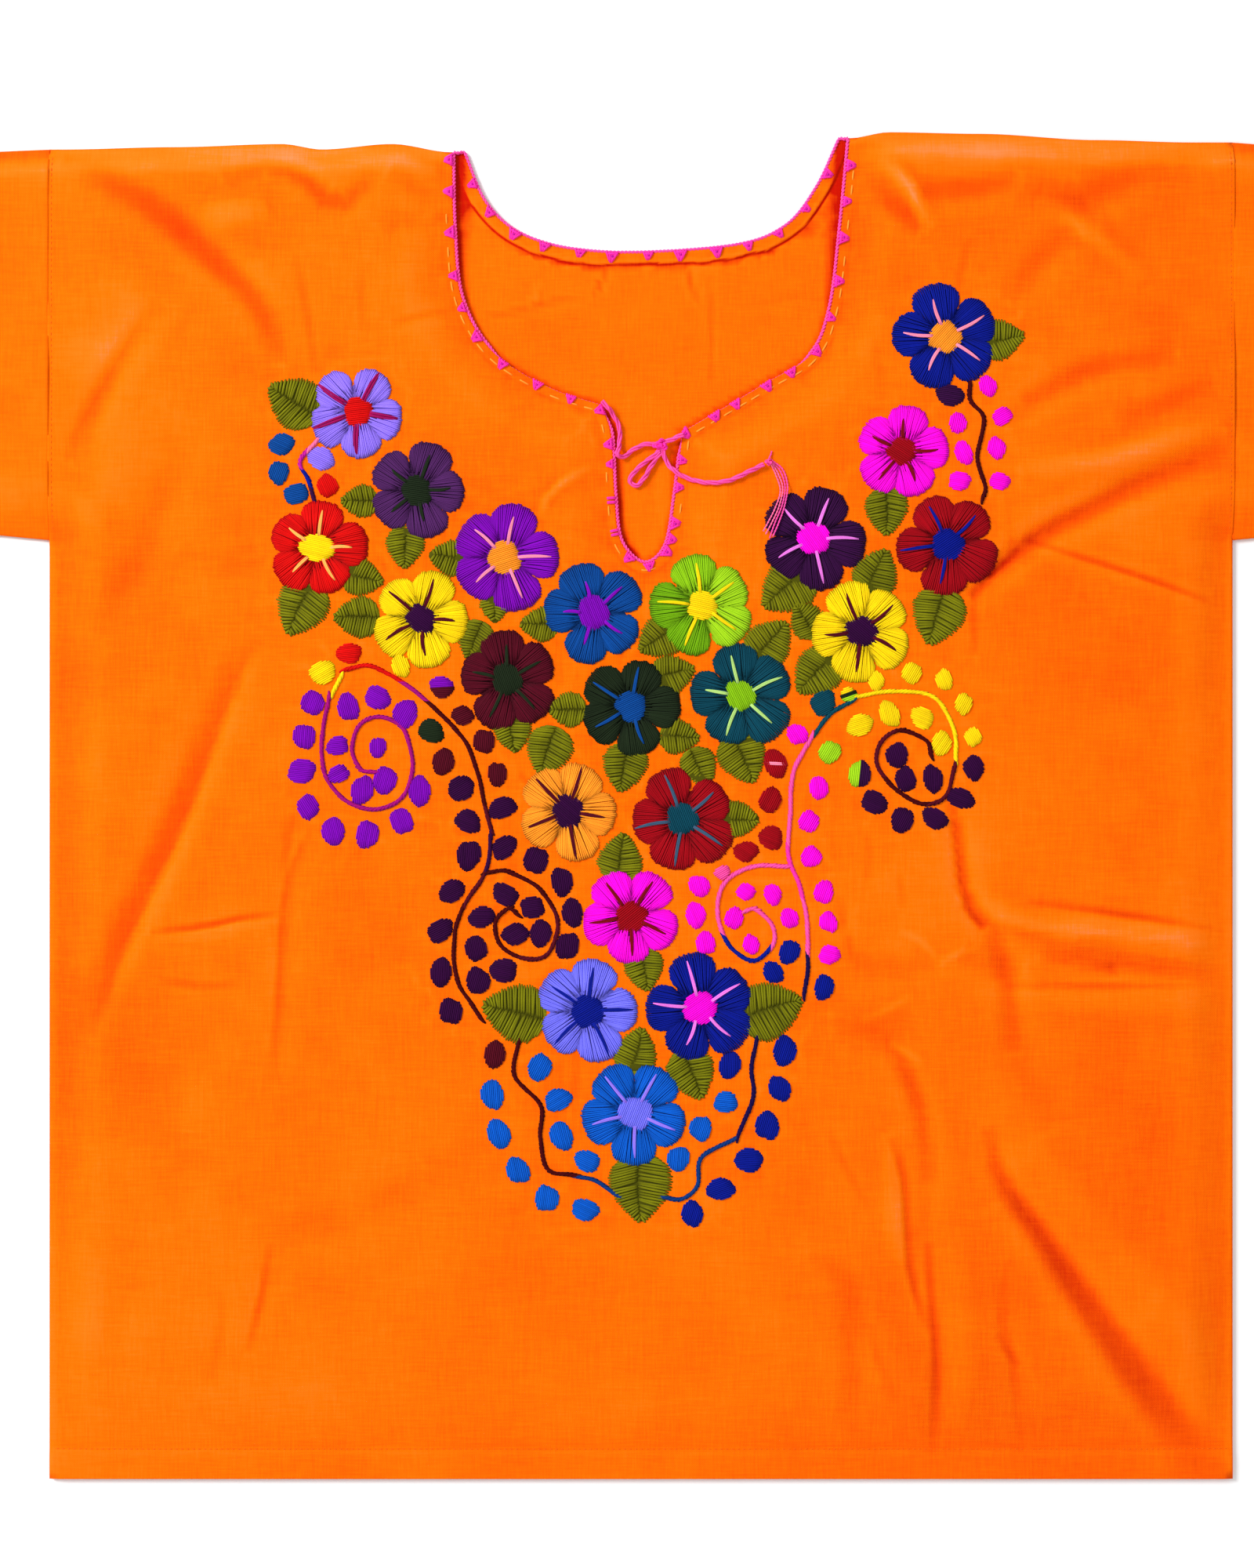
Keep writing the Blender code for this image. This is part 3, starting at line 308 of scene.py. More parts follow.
berries = (
    Berries(3, ((361, 568), (357, 605), (379, 631)), ("blue",), 0.92),
    Berries(2, ((411, 586), (419, 621)), ("periwinkle", "red"), 0.95),
    Berries(1, ((1211, 506),), ("nightPurple",), 0.92),
    Berries(3, ((1221, 541), (1228, 575), (1223, 615)), ("magenta",), 0.8),
    Berries(4, ((1259, 494), (1277, 531), (1270, 575), (1274, 615)), ("magenta",), 0.8),
    Berries(3, ((447, 834), (413, 858), (400, 897)), ("red", "yellow", "violet"), 0.95),
    Berries(
        7,
        ((389, 939), (386, 982), (391, 1023), (418, 1056), (462, 1065), (511, 1049), (536, 1009)),
        ("violet",),
    ),
    Berries(3, ((445, 903), (477, 889), (517, 911)), ("violet",)),
    Berries(2, ((432, 951), (433, 987)), ("violet",), 0.8),
    Berries(2, ((463, 1008), (492, 995)), ("violet",)),
    Berries(1, ((483, 953),), ("violet",), 0.78),
    Berries(1, ((512, 850),), ("yellow",), 0.8),
    Berries(4, ((551, 932), (568, 975), (591, 1010), (598, 1047)), ("blackGreen", "maroon", "darkPurple")),
    Berries(5, ((599, 1090), (572, 1150), (560, 1215), (576, 1289)), ("darkPurple",)),
    Berries(4, ((564, 877), (588, 909), (622, 952), (635, 987)), ("maroon/violet", "maroon"), 0.9),
    Berries(2, ((641, 1030), (643, 1081)), ("darkPurple",)),
    Berries(4, ((684, 1097), (717, 1123), (730, 1160), (724, 1206)), ("darkPurple",)),
    Berries(3, ((615, 1169), (608, 1208), (611, 1250)), ("darkPurple",)),
    Berries(1, ((644, 1237),), ("darkPurple",)),
    Berries(4, ((645, 1141), (684, 1161), (688, 1196), (658, 1191)), ("darkPurple",)),
    Berries(1, ((1050, 897),), ("teal",)),
    Berries(1, ((1082, 886),), ("limeLight/blackGreen/yellow",), 0.62, 20),
    Berries(1, ((1017, 937),), ("magenta",), 0.84),
    Berries(3, ((989, 974), (982, 1023), (984, 1068)), ("darkRed+peach", "darkRed"), 0.96),
    Berries(1, ((952, 1086),), ("darkRed",), 0.95),
    Berries(1, ((1058, 959),), ("limeLight",), 0.92),
    Berries(3, ((1044, 1005), (1031, 1051), (1035, 1092)), ("magenta",), 0.82),
    Berries(3, ((1050, 1138), (1056, 1176), (1057, 1217)), ("magenta",), 0.82),
    Berries(1, ((1051, 1258),), ("navy",), 0.92),
    Berries(1, ((1117, 869),), ("yellow",), 0.7),
    Berries(3, ((1162, 859), (1201, 866), (1228, 898)), ("yellow",), 0.78),
    Berries(1, ((1240, 940),), ("yellow",), 0.78),
    Berries(5, ((1241, 979), (1226, 1015), (1197, 1042), (1156, 1047), (1114, 1023)), ("darkPurple",), 0.94),
    Berries(1, ((1096, 988),), ("limeLight/nightPurple",), 0.94, -96),
    Berries(4, ((1096, 925), (1136, 911), (1179, 918), (1200, 948)), ("yellow",), 0.92),
    Berries(3, ((1143, 963), (1155, 995), (1189, 993)), ("darkPurple",), 0.92),
    Berries(3, ((892, 1129), (888, 1170), (900, 1203)), ("magenta",), 0.84),
    Berries(4, ((936, 1171), (951, 1137), (987, 1141), (1007, 1171)), ("magenta",), 0.78),
    Berries(1, ((958, 1204),), ("magenta",), 0.74),
    Berries(1, ((921, 1113),), ("pink",), 0.62),
    Berries(2, ((1007, 1213), (986, 1240)), ("navy",), 0.9),
    Berries(6, ((632, 1344), (630, 1420), (660, 1490), (700, 1528), (747, 1542)), ("maroon", "midBlue")),
    Berries(4, ((689, 1360), (711, 1398), (716, 1447), (750, 1480)), ("midBlue",)),
    Berries(6, ((1001, 1339), (991, 1400), (962, 1469), (920, 1514), (883, 1547)), ("navy",)),
    Berries(4, ((931, 1358), (927, 1401), (900, 1429), (865, 1476)), ("navy", "midBlue")),
)
vines = (
    Vine(((408, 560), (385, 590), (395, 615), (402, 640)), ("rose", "orchid", "navy", "nightPurple")),
    Vine(((1236, 489), (1237, 512), (1254, 537), (1246, 585), (1256, 622), (1252, 638)), ("wineBrown",)),
    Vine(
        ((440, 855), (475, 850), (520, 875), (545, 895), (590, 940), (610, 985), (620, 1030), (628, 1060)),
        ("red", "red", "grape", "wineBrown", "wineBrown", "wineBrown", "wineBrown", "maroon"),
    ),
    Vine(
        ((628, 1060), (620, 1110), (590, 1160), (580, 1200), (585, 1250), (615, 1300)),
        ("darkPurple", "maroon", "wineBrown", "wineBrown", "wineBrown"),
    ),
    Vine(
        (
            (620, 1113), (650, 1112), (690, 1135), (712, 1175), (700, 1215), (670, 1222), (640, 1205),
            (633, 1175), (650, 1158), (662, 1167),
        ),
        ("wineBrown", "maroon", "wineBrown"),
    ),
    Vine(((437, 860), (425, 885)), ("yellow",)),  # a short one, from a berry to its curl
    Vine(
        (
            (421, 888), (412, 940), (415, 985), (440, 1020), (480, 1032), (515, 1015), (527, 975),
            (515, 930), (485, 915), (460, 925), (450, 955), (460, 980), (480, 985),
        ),
        ("grape",),
    ),
    Vine(((1090, 893), (1060, 910), (1040, 935)), ("teal",)),
    Vine(
        ((1036, 938), (1012, 985), (1008, 1040), (1005, 1090), (1020, 1130), (1028, 1170), (1030, 1215)),
        ("pink", "pink", "hotPink", "pink"),
    ),
    Vine(((1030, 1218), (1030, 1240), (1025, 1270)), ("inkBlue",)),
    Vine(
        (
            (1005, 1105), (960, 1105), (925, 1125), (915, 1165), (930, 1205), (960, 1225), (985, 1205),
            (985, 1180), (965, 1160), (950, 1162),
        ),
        ("pink", "pink", "navy", "pink"),
    ),
    Vine(((1085, 890), (1140, 882), (1190, 890), (1215, 930), (1218, 970)), ("yellow",)),
    Vine(
        (
            (1218, 974), (1205, 1015), (1175, 1025), (1140, 1005), (1118, 975), (1125, 945), (1150, 932),
            (1180, 945), (1187, 965),
        ),
        ("maroon", "wineBrown", "maroon", "wineBrown"),
    ),
    Vine(((663, 1325), (657, 1370), (690, 1410), (690, 1450), (700, 1490), (735, 1498)), ("wineBrown",)),
    Vine(((737, 1499), (760, 1505), (790, 1525)), ("vineBlue",)),
    Vine(((845, 1525), (870, 1527), (890, 1510), (895, 1475), (938, 1451)), ("vineBlue",)),
    Vine(((940, 1450), (960, 1400), (958, 1360), (966, 1322)), ("inkBlue",)),
)


# Shared geometry helpers
def placed(x, y):
    return ((x - chart["axis"]) * chart["step"], cut["shoulderY"] - (y - chart["shoulder"]) * chart["step"])


def placedAll(points):
    return np.array([placed(*point) for point in points], float)


def eased(share):
    share = np.clip(share, 0.0, 1.0)
    return share * share * (3.0 - 2.0 * share)


def bell(away, width):
    return np.exp(-((away / width) ** 2))


def pointing(angle):
    return np.array([math.cos(angle), math.sin(angle)])


def crosswise(along):
    return np.array([-along[1], along[0]])


def closedLine(outline):
    return np.vstack([outline, outline[:1]])


def joinRings(faces, a, b, count):  # the faces between two rings of points, from these indices on
    for j in range(count):
        i = (j + 1) % count
        faces.append((a + j, a + i, b + i, b + j))


def lengthsAlong(line):
    return np.concatenate([[0.0], np.cumsum(np.linalg.norm(np.diff(line, axis=0), axis=1))])


def evenly(line, step):
    along = lengthsAlong(line)
    places = np.linspace(0.0, along[-1], max(1, round(along[-1] / step)) + 1)
    return np.stack([np.interp(places, along, line[:, k]) for k in range(line.shape[1])], 1)


def curveThrough(points, step):
    points = np.array(points, float)
    if len(points) == 1:
        return points
    ends = np.vstack([2 * points[0] - points[1], points, 2 * points[-1] - points[-2]])
    fine = []
    for a, b, c, d in zip(ends, ends[1:], ends[2:], ends[3:]):
        for i in range(curveSteps):
            t = i / curveSteps
            square, cube = (2 * a - 5 * b + 4 * c - d) * t**2, (3 * b - a - 3 * c + d) * t**3
            fine.append(0.5 * (2 * b + (c - a) * t + square + cube))
    fine.append(points[-1])
    return evenly(np.array(fine), step)


def sideways(line):
    run = np.gradient(line[:, :2], axis=0)
    run /= np.maximum(np.linalg.norm(run, axis=1, keepdims=True), 1e-9)
    return np.stack([-run[:, 1], run[:, 0]], 1)


def distanceTo(x, y, line):
    points = np.stack([x, y], 1)
    best = np.full(len(points), farAway)
    starts, run = line[:-1], np.diff(line, axis=0)
    longs = np.maximum((run**2).sum(1), 1e-9)
    for first in range(0, len(points), atOnce):
        part = slice(first, first + atOnce)
        offset = points[part, None, :] - starts[None]
        share = np.clip((offset * run).sum(2) / longs, 0.0, 1.0)
        best[part] = np.sqrt(((offset - run * share[..., None]) ** 2).sum(2).min(1))
    return best


def distanceToNeck(x, y, neck):
    away = np.full(len(x), farAway)
    close = (abs(x) < neckWindow["side"]) & (y > neckWindow["low"])
    away[close] = distanceTo(x[close], y[close], neck)
    return away


def isInside(x, y, outline):
    inside = np.zeros(len(x), bool)
    for a, b in zip(outline, np.roll(outline, -1, axis=0)):
        if a[1] == b[1]:
            continue
        crosses = (a[1] > y) != (b[1] > y)
        inside ^= crosses & (x < a[0] + (y - a[1]) / (b[1] - a[1]) * (b[0] - a[0]))
    return inside


def softNoise(x, y, size, seed):  # smooth, from -1 to 1, with patches of about this size
    table = np.random.default_rng(seed).uniform(-1, 1, (64, 64))
    u, v = np.asarray(x) / size, np.asarray(y) / size
    i, j = np.floor(u).astype(int), np.floor(v).astype(int)
    a, b = eased(u - i), eased(v - j)
    low = table[i % 64, j % 64] * (1 - a) + table[(i + 1) % 64, j % 64] * a
    high = table[i % 64, (j + 1) % 64] * (1 - a) + table[(i + 1) % 64, (j + 1) % 64] * a
    return low * (1 - b) + high * b


def shoulderAt(x):
    x = np.asarray(x, float)
    found = np.empty_like(x)
    for table, here, end in ((leftShoulder, x < 0, 0), (rightShoulder, x >= 0, -1)):
        line, ask = placedAll(table), x[here]
        index = np.clip(np.searchsorted(line[1:, 0], ask), 0, len(line) - 2)
        a, b = line[index], line[index + 1]
        level = a[:, 1] + (b[:, 1] - a[:, 1]) * eased((ask - a[:, 0]) / (b[:, 0] - a[:, 0]))
        share = np.clip((abs(ask) - cut["halfWidth"]) / (cut["cuffX"] - cut["halfWidth"]), 0, 1)
        out = line[end, 1] + (cut["cuffTopY"] - line[end, 1]) * share
        found[here] = np.where(abs(ask) >= cut["halfWidth"], out, level)
    return found


def underarmAt(x):
    share = (abs(x) - cut["halfWidth"]) / (cut["cuffX"] - cut["halfWidth"])
    return cut["underarmY"] + (cut["cuffBottomY"] - cut["underarmY"]) * share


def foldRuns(folds):
    runs = []
    for fold in folds:
        line = curveThrough(placedAll(fold.points), 14.0)
        runs.append((line, lengthsAlong(line), fold))
    return runs


def foldsAt(x, y, runs):  # soft troughs and ridges along curved lines, fading toward both ends
    total = np.zeros(len(x))
    for line, along, fold in runs:
        reach = 3.4 * fold.halfWidth
        low, high = line.min(0) - reach, line.max(0) + reach
        near = np.flatnonzero((x > low[0]) & (x < high[0]) & (y > low[1]) & (y < high[1]))
        if len(near) == 0:
            continue
        u, v = x[near], y[near]
        away, place, side = np.full(len(u), farAway), np.zeros(len(u)), np.zeros(len(u))
        for start, run, before in zip(line, np.diff(line, axis=0), along):
            long = math.hypot(*run)
            held = np.clip(((u - start[0]) * run[0] + (v - start[1]) * run[1]) / long**2, 0, 1)
            du, dv = u - start[0] - run[0] * held, v - start[1] - run[1] * held
            apart = np.hypot(du, dv)
            closer = apart < away
            away[closer], place[closer] = apart[closer], before + (held * long)[closer]
            side[closer] = ((run[0] * dv - run[1] * du) / long)[closer]
        share = np.clip(place / along[-1], 0, 1)
        skewed = 1 + fold.skew * np.tanh(side / fold.halfWidth * 3)
        wide = fold.halfWidth * skewed * (1 + fold.flare * (2 * share - 1))
        total[near] += fold.height * bell(away, wide) * np.sin(np.pi * share) ** 0.7
    return total


mainRuns, fineRuns, shadeRuns = foldRuns(mainFolds), foldRuns(fineCreases), foldRuns(broadShadeAndHighlight)
backRuns, undersideRuns = foldRuns(backCreases), foldRuns(undersideCreases)


frontNeck = np.vstack([
    curveThrough(placedAll(frontNeckLeft), 2.4)[:-1],
    curveThrough(placedAll(slitLine), 2.4)[:-1],
    curveThrough(placedAll(frontNeckRight), 2.4),
])
backNeck = curveThrough(placedAll(backNeckLine), 2.4)
backNeck[[0, -1], 1] = shoulderAt(backNeck[[0, -1], 0])


def berryPlaces():
    for run in berries:
        line = placedAll(run.points)
        if run.count > 1:
            fine = curveThrough(line, 1.0)
            line = fine[[round((len(fine) - 1) * k / (run.count - 1)) for k in range(run.count)]]
        for k in range(run.count):
            yield line[k], run.colours[min(k, len(run.colours) - 1)], run.size, run.lean


motifSpots = [(*placed(f.x, f.y), 27.0 * f.size) for f in flowers]
motifSpots += [(*placed(leaf.x, leaf.y), 11.0) for leaf in leaves]
motifSpots += [(*spot, 7.0 * size) for spot, colour, size, lean in berryPlaces()]
motifSpots = np.array(motifSpots)
flowerSpots = motifSpots[: len(flowers)]


# How the front lies over the back: its height, and how free it is to ripple there
def lieAt(x, y):
    side, size = cut["halfWidth"], lying
    fromShoulder = eased((shoulderAt(x) - y) / size["shoulderRoll"])
    overSleeve = eased((y - underarmAt(x)) / size["sideRoll"])
    byArmhole = eased(np.hypot(side - abs(x), y - cut["underarmY"]) / size["sideRoll"])
    bySide = eased((side - abs(x)) / size["sideRoll"])
    fromSide = np.where(abs(x) > side, overSleeve, np.where(y > cut["underarmY"], byArmhole, bySide))
    fromHem = eased((y - cut["hemY"]) / size["hemFade"])
    swell = size["loft"] + size["foldGain"] * foldsAt(x, y, mainRuns)
    swell = np.logaddexp(0.0, swell * 1.2) / 1.2  # the deepest troughs level out just over the back
    height = swell * fromHem * fromShoulder * fromSide
    byNeck = 1 - eased(distanceToNeck(x, y, frontNeck) / size["neckFade"])
    height = height + (size["neckLie"] - height) * byNeck + cut["wall"] * 2 + cut["seamGap"]
    return height, fromShoulder * fromSide * fromHem * (1 - byNeck)


frontCloth = {
    "spacing": 4.0,
    "edgeRoll": 2.2,  # how far in from a sewn edge the cloth starts to turn down
    "edgeDrop": 0.8,
    "hemWidth": 20.0,
    "hemRings": (21.0, 19.7, 18.9, 18.2, 17.4, 16.0),
    "neckHem": 5.0,
    "neckHemRise": 0.16,
    "neckGroove": 0.05,
    "neckWaver": 0.22,
    "ripple": 0.8,
    "rippleSizes": (62, 24),
    "pucker": 0.24,
    "puckerReach": 15.0,
    "puckerSize": 13.0,
    "paintedShadeScales": ((3.5, 0.5), (13.0, 0.05)),
    "foldPaintedShade": 0.015,
    "underPaintedShade": 0.4,
}
hemFold = {"rise": 0.4, "groove": 0.35, "grooveAt": 1.8}


def turnedHem(inside, step, grooveWidth):  # the doubled cloth of a hem, and the groove of its stitches
    groove = hemFold["groove"] * bell(inside - hemFold["grooveAt"], grooveWidth)
    return hemFold["rise"] * eased(inside / step) - groove


def frontTop(x, y):
    size = frontCloth
    height, free = lieAt(x, y)
    height += lying["creaseGain"] * foldsAt(x, y, fineRuns) * (0.15 + 0.85 * free)
    broad, small = size["rippleSizes"]
    height += free * size["ripple"] * (softNoise(x, y, broad, 3) + 0.5 * softNoise(x, y, small, 5))
    near = np.full(len(x), farAway)
    for first in range(0, len(x), atOnce):
        part = slice(first, first + atOnce)
        apart = np.hypot(x[part, None] - motifSpots[:, 0], y[part, None] - motifSpots[:, 1])
        near[part] = (apart - motifSpots[:, 2]).min(1)
    pucker = bell(np.maximum(near, 0), size["puckerReach"]) * eased((near + 1) / 4.0)
    waves = 1 - 2 * abs(softNoise(x, y, size["puckerSize"], 11)) ** 0.7
    height += pucker * size["pucker"] * waves * (0.3 + 0.7 * free)
    byNeck = distanceToNeck(x, y, frontNeck)
    wavy = 1 + 0.9 * softNoise(x, y, 11, 17)
    height += size["neckHemRise"] * wavy * (1 - eased((byNeck - size["neckHem"] + 0.8) / 1.6))
    height -= size["neckGroove"] * bell(byNeck - size["neckHem"] - 1.0, 1.0)
    waver = softNoise(x, y, 7.5, 19) * (1 - eased((byNeck - 9.0) / 8.0)) * eased(byNeck / 1.5)
    height += size["neckWaver"] * waver + turnedHem(cut["hemY"] + size["hemWidth"] - y, 1.2, 0.8)
    sewn = shoulderAt(x) - y
    sewn = np.where(y < cut["underarmY"], np.minimum(sewn, cut["halfWidth"] - abs(x)), sewn)
    turn = 1 - np.clip(sewn / size["edgeRoll"], 0, 1)
    return height - size["edgeDrop"] * (1 - np.sqrt(1 - turn**2))


def paintedShadeOf(heightAt, x, y, scales):  # painted shade in the cloth's valleys and painted highlight on its ridges
    sides = ((1, 0), (-1, 0), (0, 1), (0, -1))
    here, tone = heightAt(x, y), np.full(len(x), 0.5)
    for reach, gain in scales:
        around = sum(heightAt(x + dx * reach, y + dy * reach) for dx, dy in sides) / 4
        tone -= (around - here) * gain
    return np.clip(tone, 0, 1)


# Node groups and materials
def newGroup(name, inputs, outputs):
    group = bpy.data.node_groups.new(name, "ShaderNodeTree")
    for label, kind, value in inputs:
        socket = group.interface.new_socket(name=label, in_out="INPUT", socket_type=kind)
        if value is not None:
            socket.default_value = value
    for label, kind in outputs:
        group.interface.new_socket(name=label, in_out="OUTPUT", socket_type=kind)
    return group, group.nodes.new("NodeGroupInput"), group.nodes.new("NodeGroupOutput")


def setInputs(node, values):
    for label, value in values.items():
        node.inputs[label].default_value = value


def addMath(tree, operation, a, b=None):
    node = tree.nodes.new("ShaderNodeMath")
    node.operation = operation
    for index, value in enumerate((a, b)):
        if value is None:
            continue
        if isinstance(value, (int, float)):
            node.inputs[index].default_value = value
        else:
            tree.links.new(value, node.inputs[index])
    return node.outputs[0]


def plus(tree, a, b):
    return addMath(tree, "ADD", a, b)


def times(tree, a, b):
    return addMath(tree, "MULTIPLY", a, b)


def addOnVector(tree, kind, vector, values):
    node = tree.nodes.new(kind)
    setInputs(node, values)
    tree.links.new(vector, node.inputs["Vector"])
    return node.outputs


def addNoise(tree, vector, scale, detail=2.0, roughness=0.5):
    values = {"Scale": scale, "Detail": detail, "Roughness": roughness}
    return addOnVector(tree, "ShaderNodeTexNoise", vector, values)["Fac"]


def stretched(tree, vector, scale):
    return addOnVector(tree, "ShaderNodeMapping", vector, {"Scale": scale})["Vector"]


# Plain weave: crossing threads with slubs along both of them
def makeWeaveGroup():
    group, given, made = newGroup(
        "plainWeave",
        [("Vector", "NodeSocketVector", None), ("Threads", "NodeSocketFloat", 5500.0)],
        [("Slub", "NodeSocketFloat"), ("Height", "NodeSocketFloat")],
    )
    vector = given.outputs["Vector"]
    wobble = addNoise(group, vector, 90.0, 2.0)
    split = group.nodes.new("ShaderNodeSeparateXYZ")
    group.links.new(vector, split.inputs[0])
    threads = []
    for axis in (0, 1):
        turned = times(group, split.outputs[axis], given.outputs["Threads"])
        threads.append(addMath(group, "SINE", plus(group, turned, times(group, wobble, 5.0))))
    weave = times(group, threads[0], threads[1])
    ribs = plus(group, addMath(group, "ABSOLUTE", threads[0]), addMath(group, "ABSOLUTE", threads[1]))
    along = addNoise(group, stretched(group, vector, (60.0, 900.0, 60.0)), 1.0, 3.0, 0.6)
    across = addNoise(group, stretched(group, vector, (900.0, 60.0, 60.0)), 1.0, 3.0, 0.6)
    slub = times(group, plus(group, along, across), 0.5)
    height = plus(group, times(group, weave, 0.3), times(group, ribs, 0.25))
    height = plus(group, height, times(group, slub, 1.6))
    group.links.new(slub, made.inputs["Slub"])
    group.links.new(height, made.inputs["Height"])
    return group


# Loose fibres in a yarn: a value for its shade and one for its relief
def makeFibreGroup():
    group, given, made = newGroup(
        "yarnFibres",
        [("Vector", "NodeSocketVector", None)],
        [("Shade", "NodeSocketFloat"), ("Height", "NodeSocketFloat")],
    )
    fine = addNoise(group, given.outputs["Vector"], 1900.0, 3.0, 0.6)
    broad = addNoise(group, given.outputs["Vector"], 160.0, 2.0)
    shade = plus(group, times(group, fine, 0.6), times(group, broad, 0.4))
    group.links.new(shade, made.inputs["Shade"])
    group.links.new(fine, made.inputs["Height"])
    return group


weaveGroup, fibreGroup = makeWeaveGroup(), makeFibreGroup()


def newMaterial(name):
    material = bpy.data.materials.new(name)
    material.use_nodes = True
    tree = material.node_tree
    vector = tree.nodes.new("ShaderNodeTexCoord").outputs["Object"]
    return material, tree, tree.nodes["Principled BSDF"], vector


def addRamp(tree, value, stops):
    node = tree.nodes.new("ShaderNodeValToRGB")
    ramp = node.color_ramp
    ramp.elements[0].position, ramp.elements[0].color = stops[0][0], (*stops[0][1], 1)
    ramp.elements[1].position, ramp.elements[1].color = stops[-1][0], (*stops[-1][1], 1)
    for place, colour in stops[1:-1]:
        ramp.elements.new(place).color = (*colour, 1)
    tree.links.new(value, node.inputs[0])
    return node.outputs["Color"]


def addGroup(tree, group, vector):
    node = tree.nodes.new("ShaderNodeGroup")
    node.node_tree = group
    tree.links.new(vector, node.inputs["Vector"])
    return node.outputs


def addAttribute(tree, name):
    node = tree.nodes.new("ShaderNodeAttribute")
    node.attribute_name = name
    return node.outputs


# The parts that both materials share: a roughness that follows the grain, a relief and plain values
def addFinish(tree, shader, grain, height, finish):
    rough = plus(tree, times(tree, grain, finish["grainGain"]), finish["roughness"])
    tree.links.new(rough, shader.inputs["Roughness"])
    bump = tree.nodes.new("ShaderNodeBump")
    setInputs(bump, {"Strength": finish["bump"], "Distance": finish["bumpDistance"]})
    tree.links.new(height, bump.inputs["Height"])
    tree.links.new(bump.outputs["Normal"], shader.inputs["Normal"])
    setInputs(shader, finish["shader"])


cottonFinish = {
    # The ramp runs from a deep red for painted shade through the plain orange to a pale orange for painted
    # highlight; random patches and slubs also move the cloth along it
    "ramp": (
        (0.0, srgb(196, 18, 0)),
        (0.34, srgb(246, 84, 0)),
        (0.54, srgb(254, 112, 0)),
        (0.68, srgb(255, 121, 22)),
        (0.88, srgb(255, 138, 84)),
    ),
    "patchGain": 0.32,
    "slubGain": 0.42,
    "bump": 0.5,
    "bumpDistance": 0.0005,
    "roughness": 0.85,
    "grainGain": 0.1,
    "shader": {
        "Specular IOR Level": 0.05,
        "Sheen Weight": 0.02,
        "Sheen Roughness": 0.5,
        "Sheen Tint": (1.0, 0.5, 0.25, 1),
    },
}


def makeCotton():
    material, tree, shader, vector = newMaterial("orange plain-weave cotton")
    # Painted shade and highlight from the cloth's attribute, with random patches and slubs, pick the colour on
    # the ramp
    weave, tone = addGroup(tree, weaveGroup, vector), addAttribute(tree, "paintedClothShade")["Fac"]
    patches = addMath(tree, "SUBTRACT", addNoise(tree, vector, 8.0, 5.0, 0.62), 0.5)
    slubs = addMath(tree, "SUBTRACT", weave["Slub"], 0.5)
    value = plus(tree, tone, times(tree, patches, cottonFinish["patchGain"]))
    value = plus(tree, value, times(tree, slubs, cottonFinish["slubGain"]))
    tree.links.new(addRamp(tree, value, cottonFinish["ramp"]), shader.inputs["Base Color"])
    addFinish(tree, shader, weave["Slub"], weave["Height"], cottonFinish)
    return material


yarnFinish = {
    "shadeGain": 0.5,
    "bump": 0.5,
    "bumpDistance": 0.0003,
    "roughness": 0.63,
    "grainGain": 0.15,
    "shader": {"Specular IOR Level": 0.06, "Sheen Weight": 0.015},
}


def makeYarn(name, finish):
    material, tree, shader, vector = newMaterial(name)
    fibres, tint = addGroup(tree, fibreGroup, vector), addAttribute(tree, "yarnTint")["Color"]
    level = plus(tree, times(tree, fibres["Shade"], finish["shadeGain"]), 1.0 - finish["shadeGain"] / 2)
    scaled = tree.nodes.new("ShaderNodeVectorMath")
    scaled.operation = "SCALE"
    tree.links.new(tint, scaled.inputs[0])
    tree.links.new(level, scaled.inputs["Scale"])
    tree.links.new(scaled.outputs[0], shader.inputs["Base Color"])
    addFinish(tree, shader, fibres["Shade"], fibres["Height"], finish)
    return material


cotton = makeCotton()
stitchYarn = makeYarn("satin stitch yarn", yarnFinish)
edgeYarn = makeYarn("crochet edging yarn", {**yarnFinish, "roughness": 0.71, "bump": 0.6})
print("materials made")


# Cloth meshes: one triangulated plan, used for the upper and the lower face
def straightRun(a, b, step):
    count = max(1, round(math.dist(a, b) / step))
    return np.linspace(a, b, count + 1)


def panelOutline(neckline):
    side, hem = cut["halfWidth"], cut["hemY"]
    topLeft, topRight = (-side, float(shoulderAt([-side])[0])), (side, float(shoulderAt([side])[0]))

    def shoulderRun(first, last):
        xs = np.linspace(first, last, max(2, round(abs(last - first) / 5.0)) + 1)
        return np.stack([xs, shoulderAt(xs)], 1)

    runs = (
        straightRun((-side, hem), (side, hem), 6.0),
        straightRun((side, hem), topRight, 6.0),
        shoulderRun(side, neckline[-1, 0]),
        neckline[::-1],
        shoulderRun(neckline[0, 0], -side),
        straightRun(topLeft, (-side, hem), 6.0),
    )
    return np.vstack([run[:-1] for run in runs])


def keptInside(points, outline, line, distance):
    inside = isInside(points[:, 0], points[:, 1], outline)
    return points[inside & (distanceTo(points[:, 0], points[:, 1], line) > distance)]


def ringInside(outline, line, distance, flip):  # points this far into the cloth from a line
    ring = line + sideways(line) * distance * flip
    return keptInside(ring, outline, closedLine(outline), distance * 0.92)


def cellOf(x, y, size):
    return math.floor(x / size), math.floor(y / size)


def cellsBy(cell):
    return [(cell[0] + i, cell[1] + j) for i in (-1, 0, 1) for j in (-1, 0, 1)]


def thinnedOut(points, least):
    kept, cells = [], {}
    for x, y in points:
        cell = cellOf(x, y, least)
        near = [p for other in cellsBy(cell) for p in cells.get(other, ())]
        if all(math.hypot(x - a, y - b) >= least for a, b in near):
            cells.setdefault(cell, []).append((x, y))
            kept.append((x, y))
    return np.array(kept).reshape(-1, 2)


planGrid = {"rowShare": 0.866, "ringGap": 0.55, "clearCell": 2.2, "neckReaches": 100.0, "mergeWithin": 1e-5}


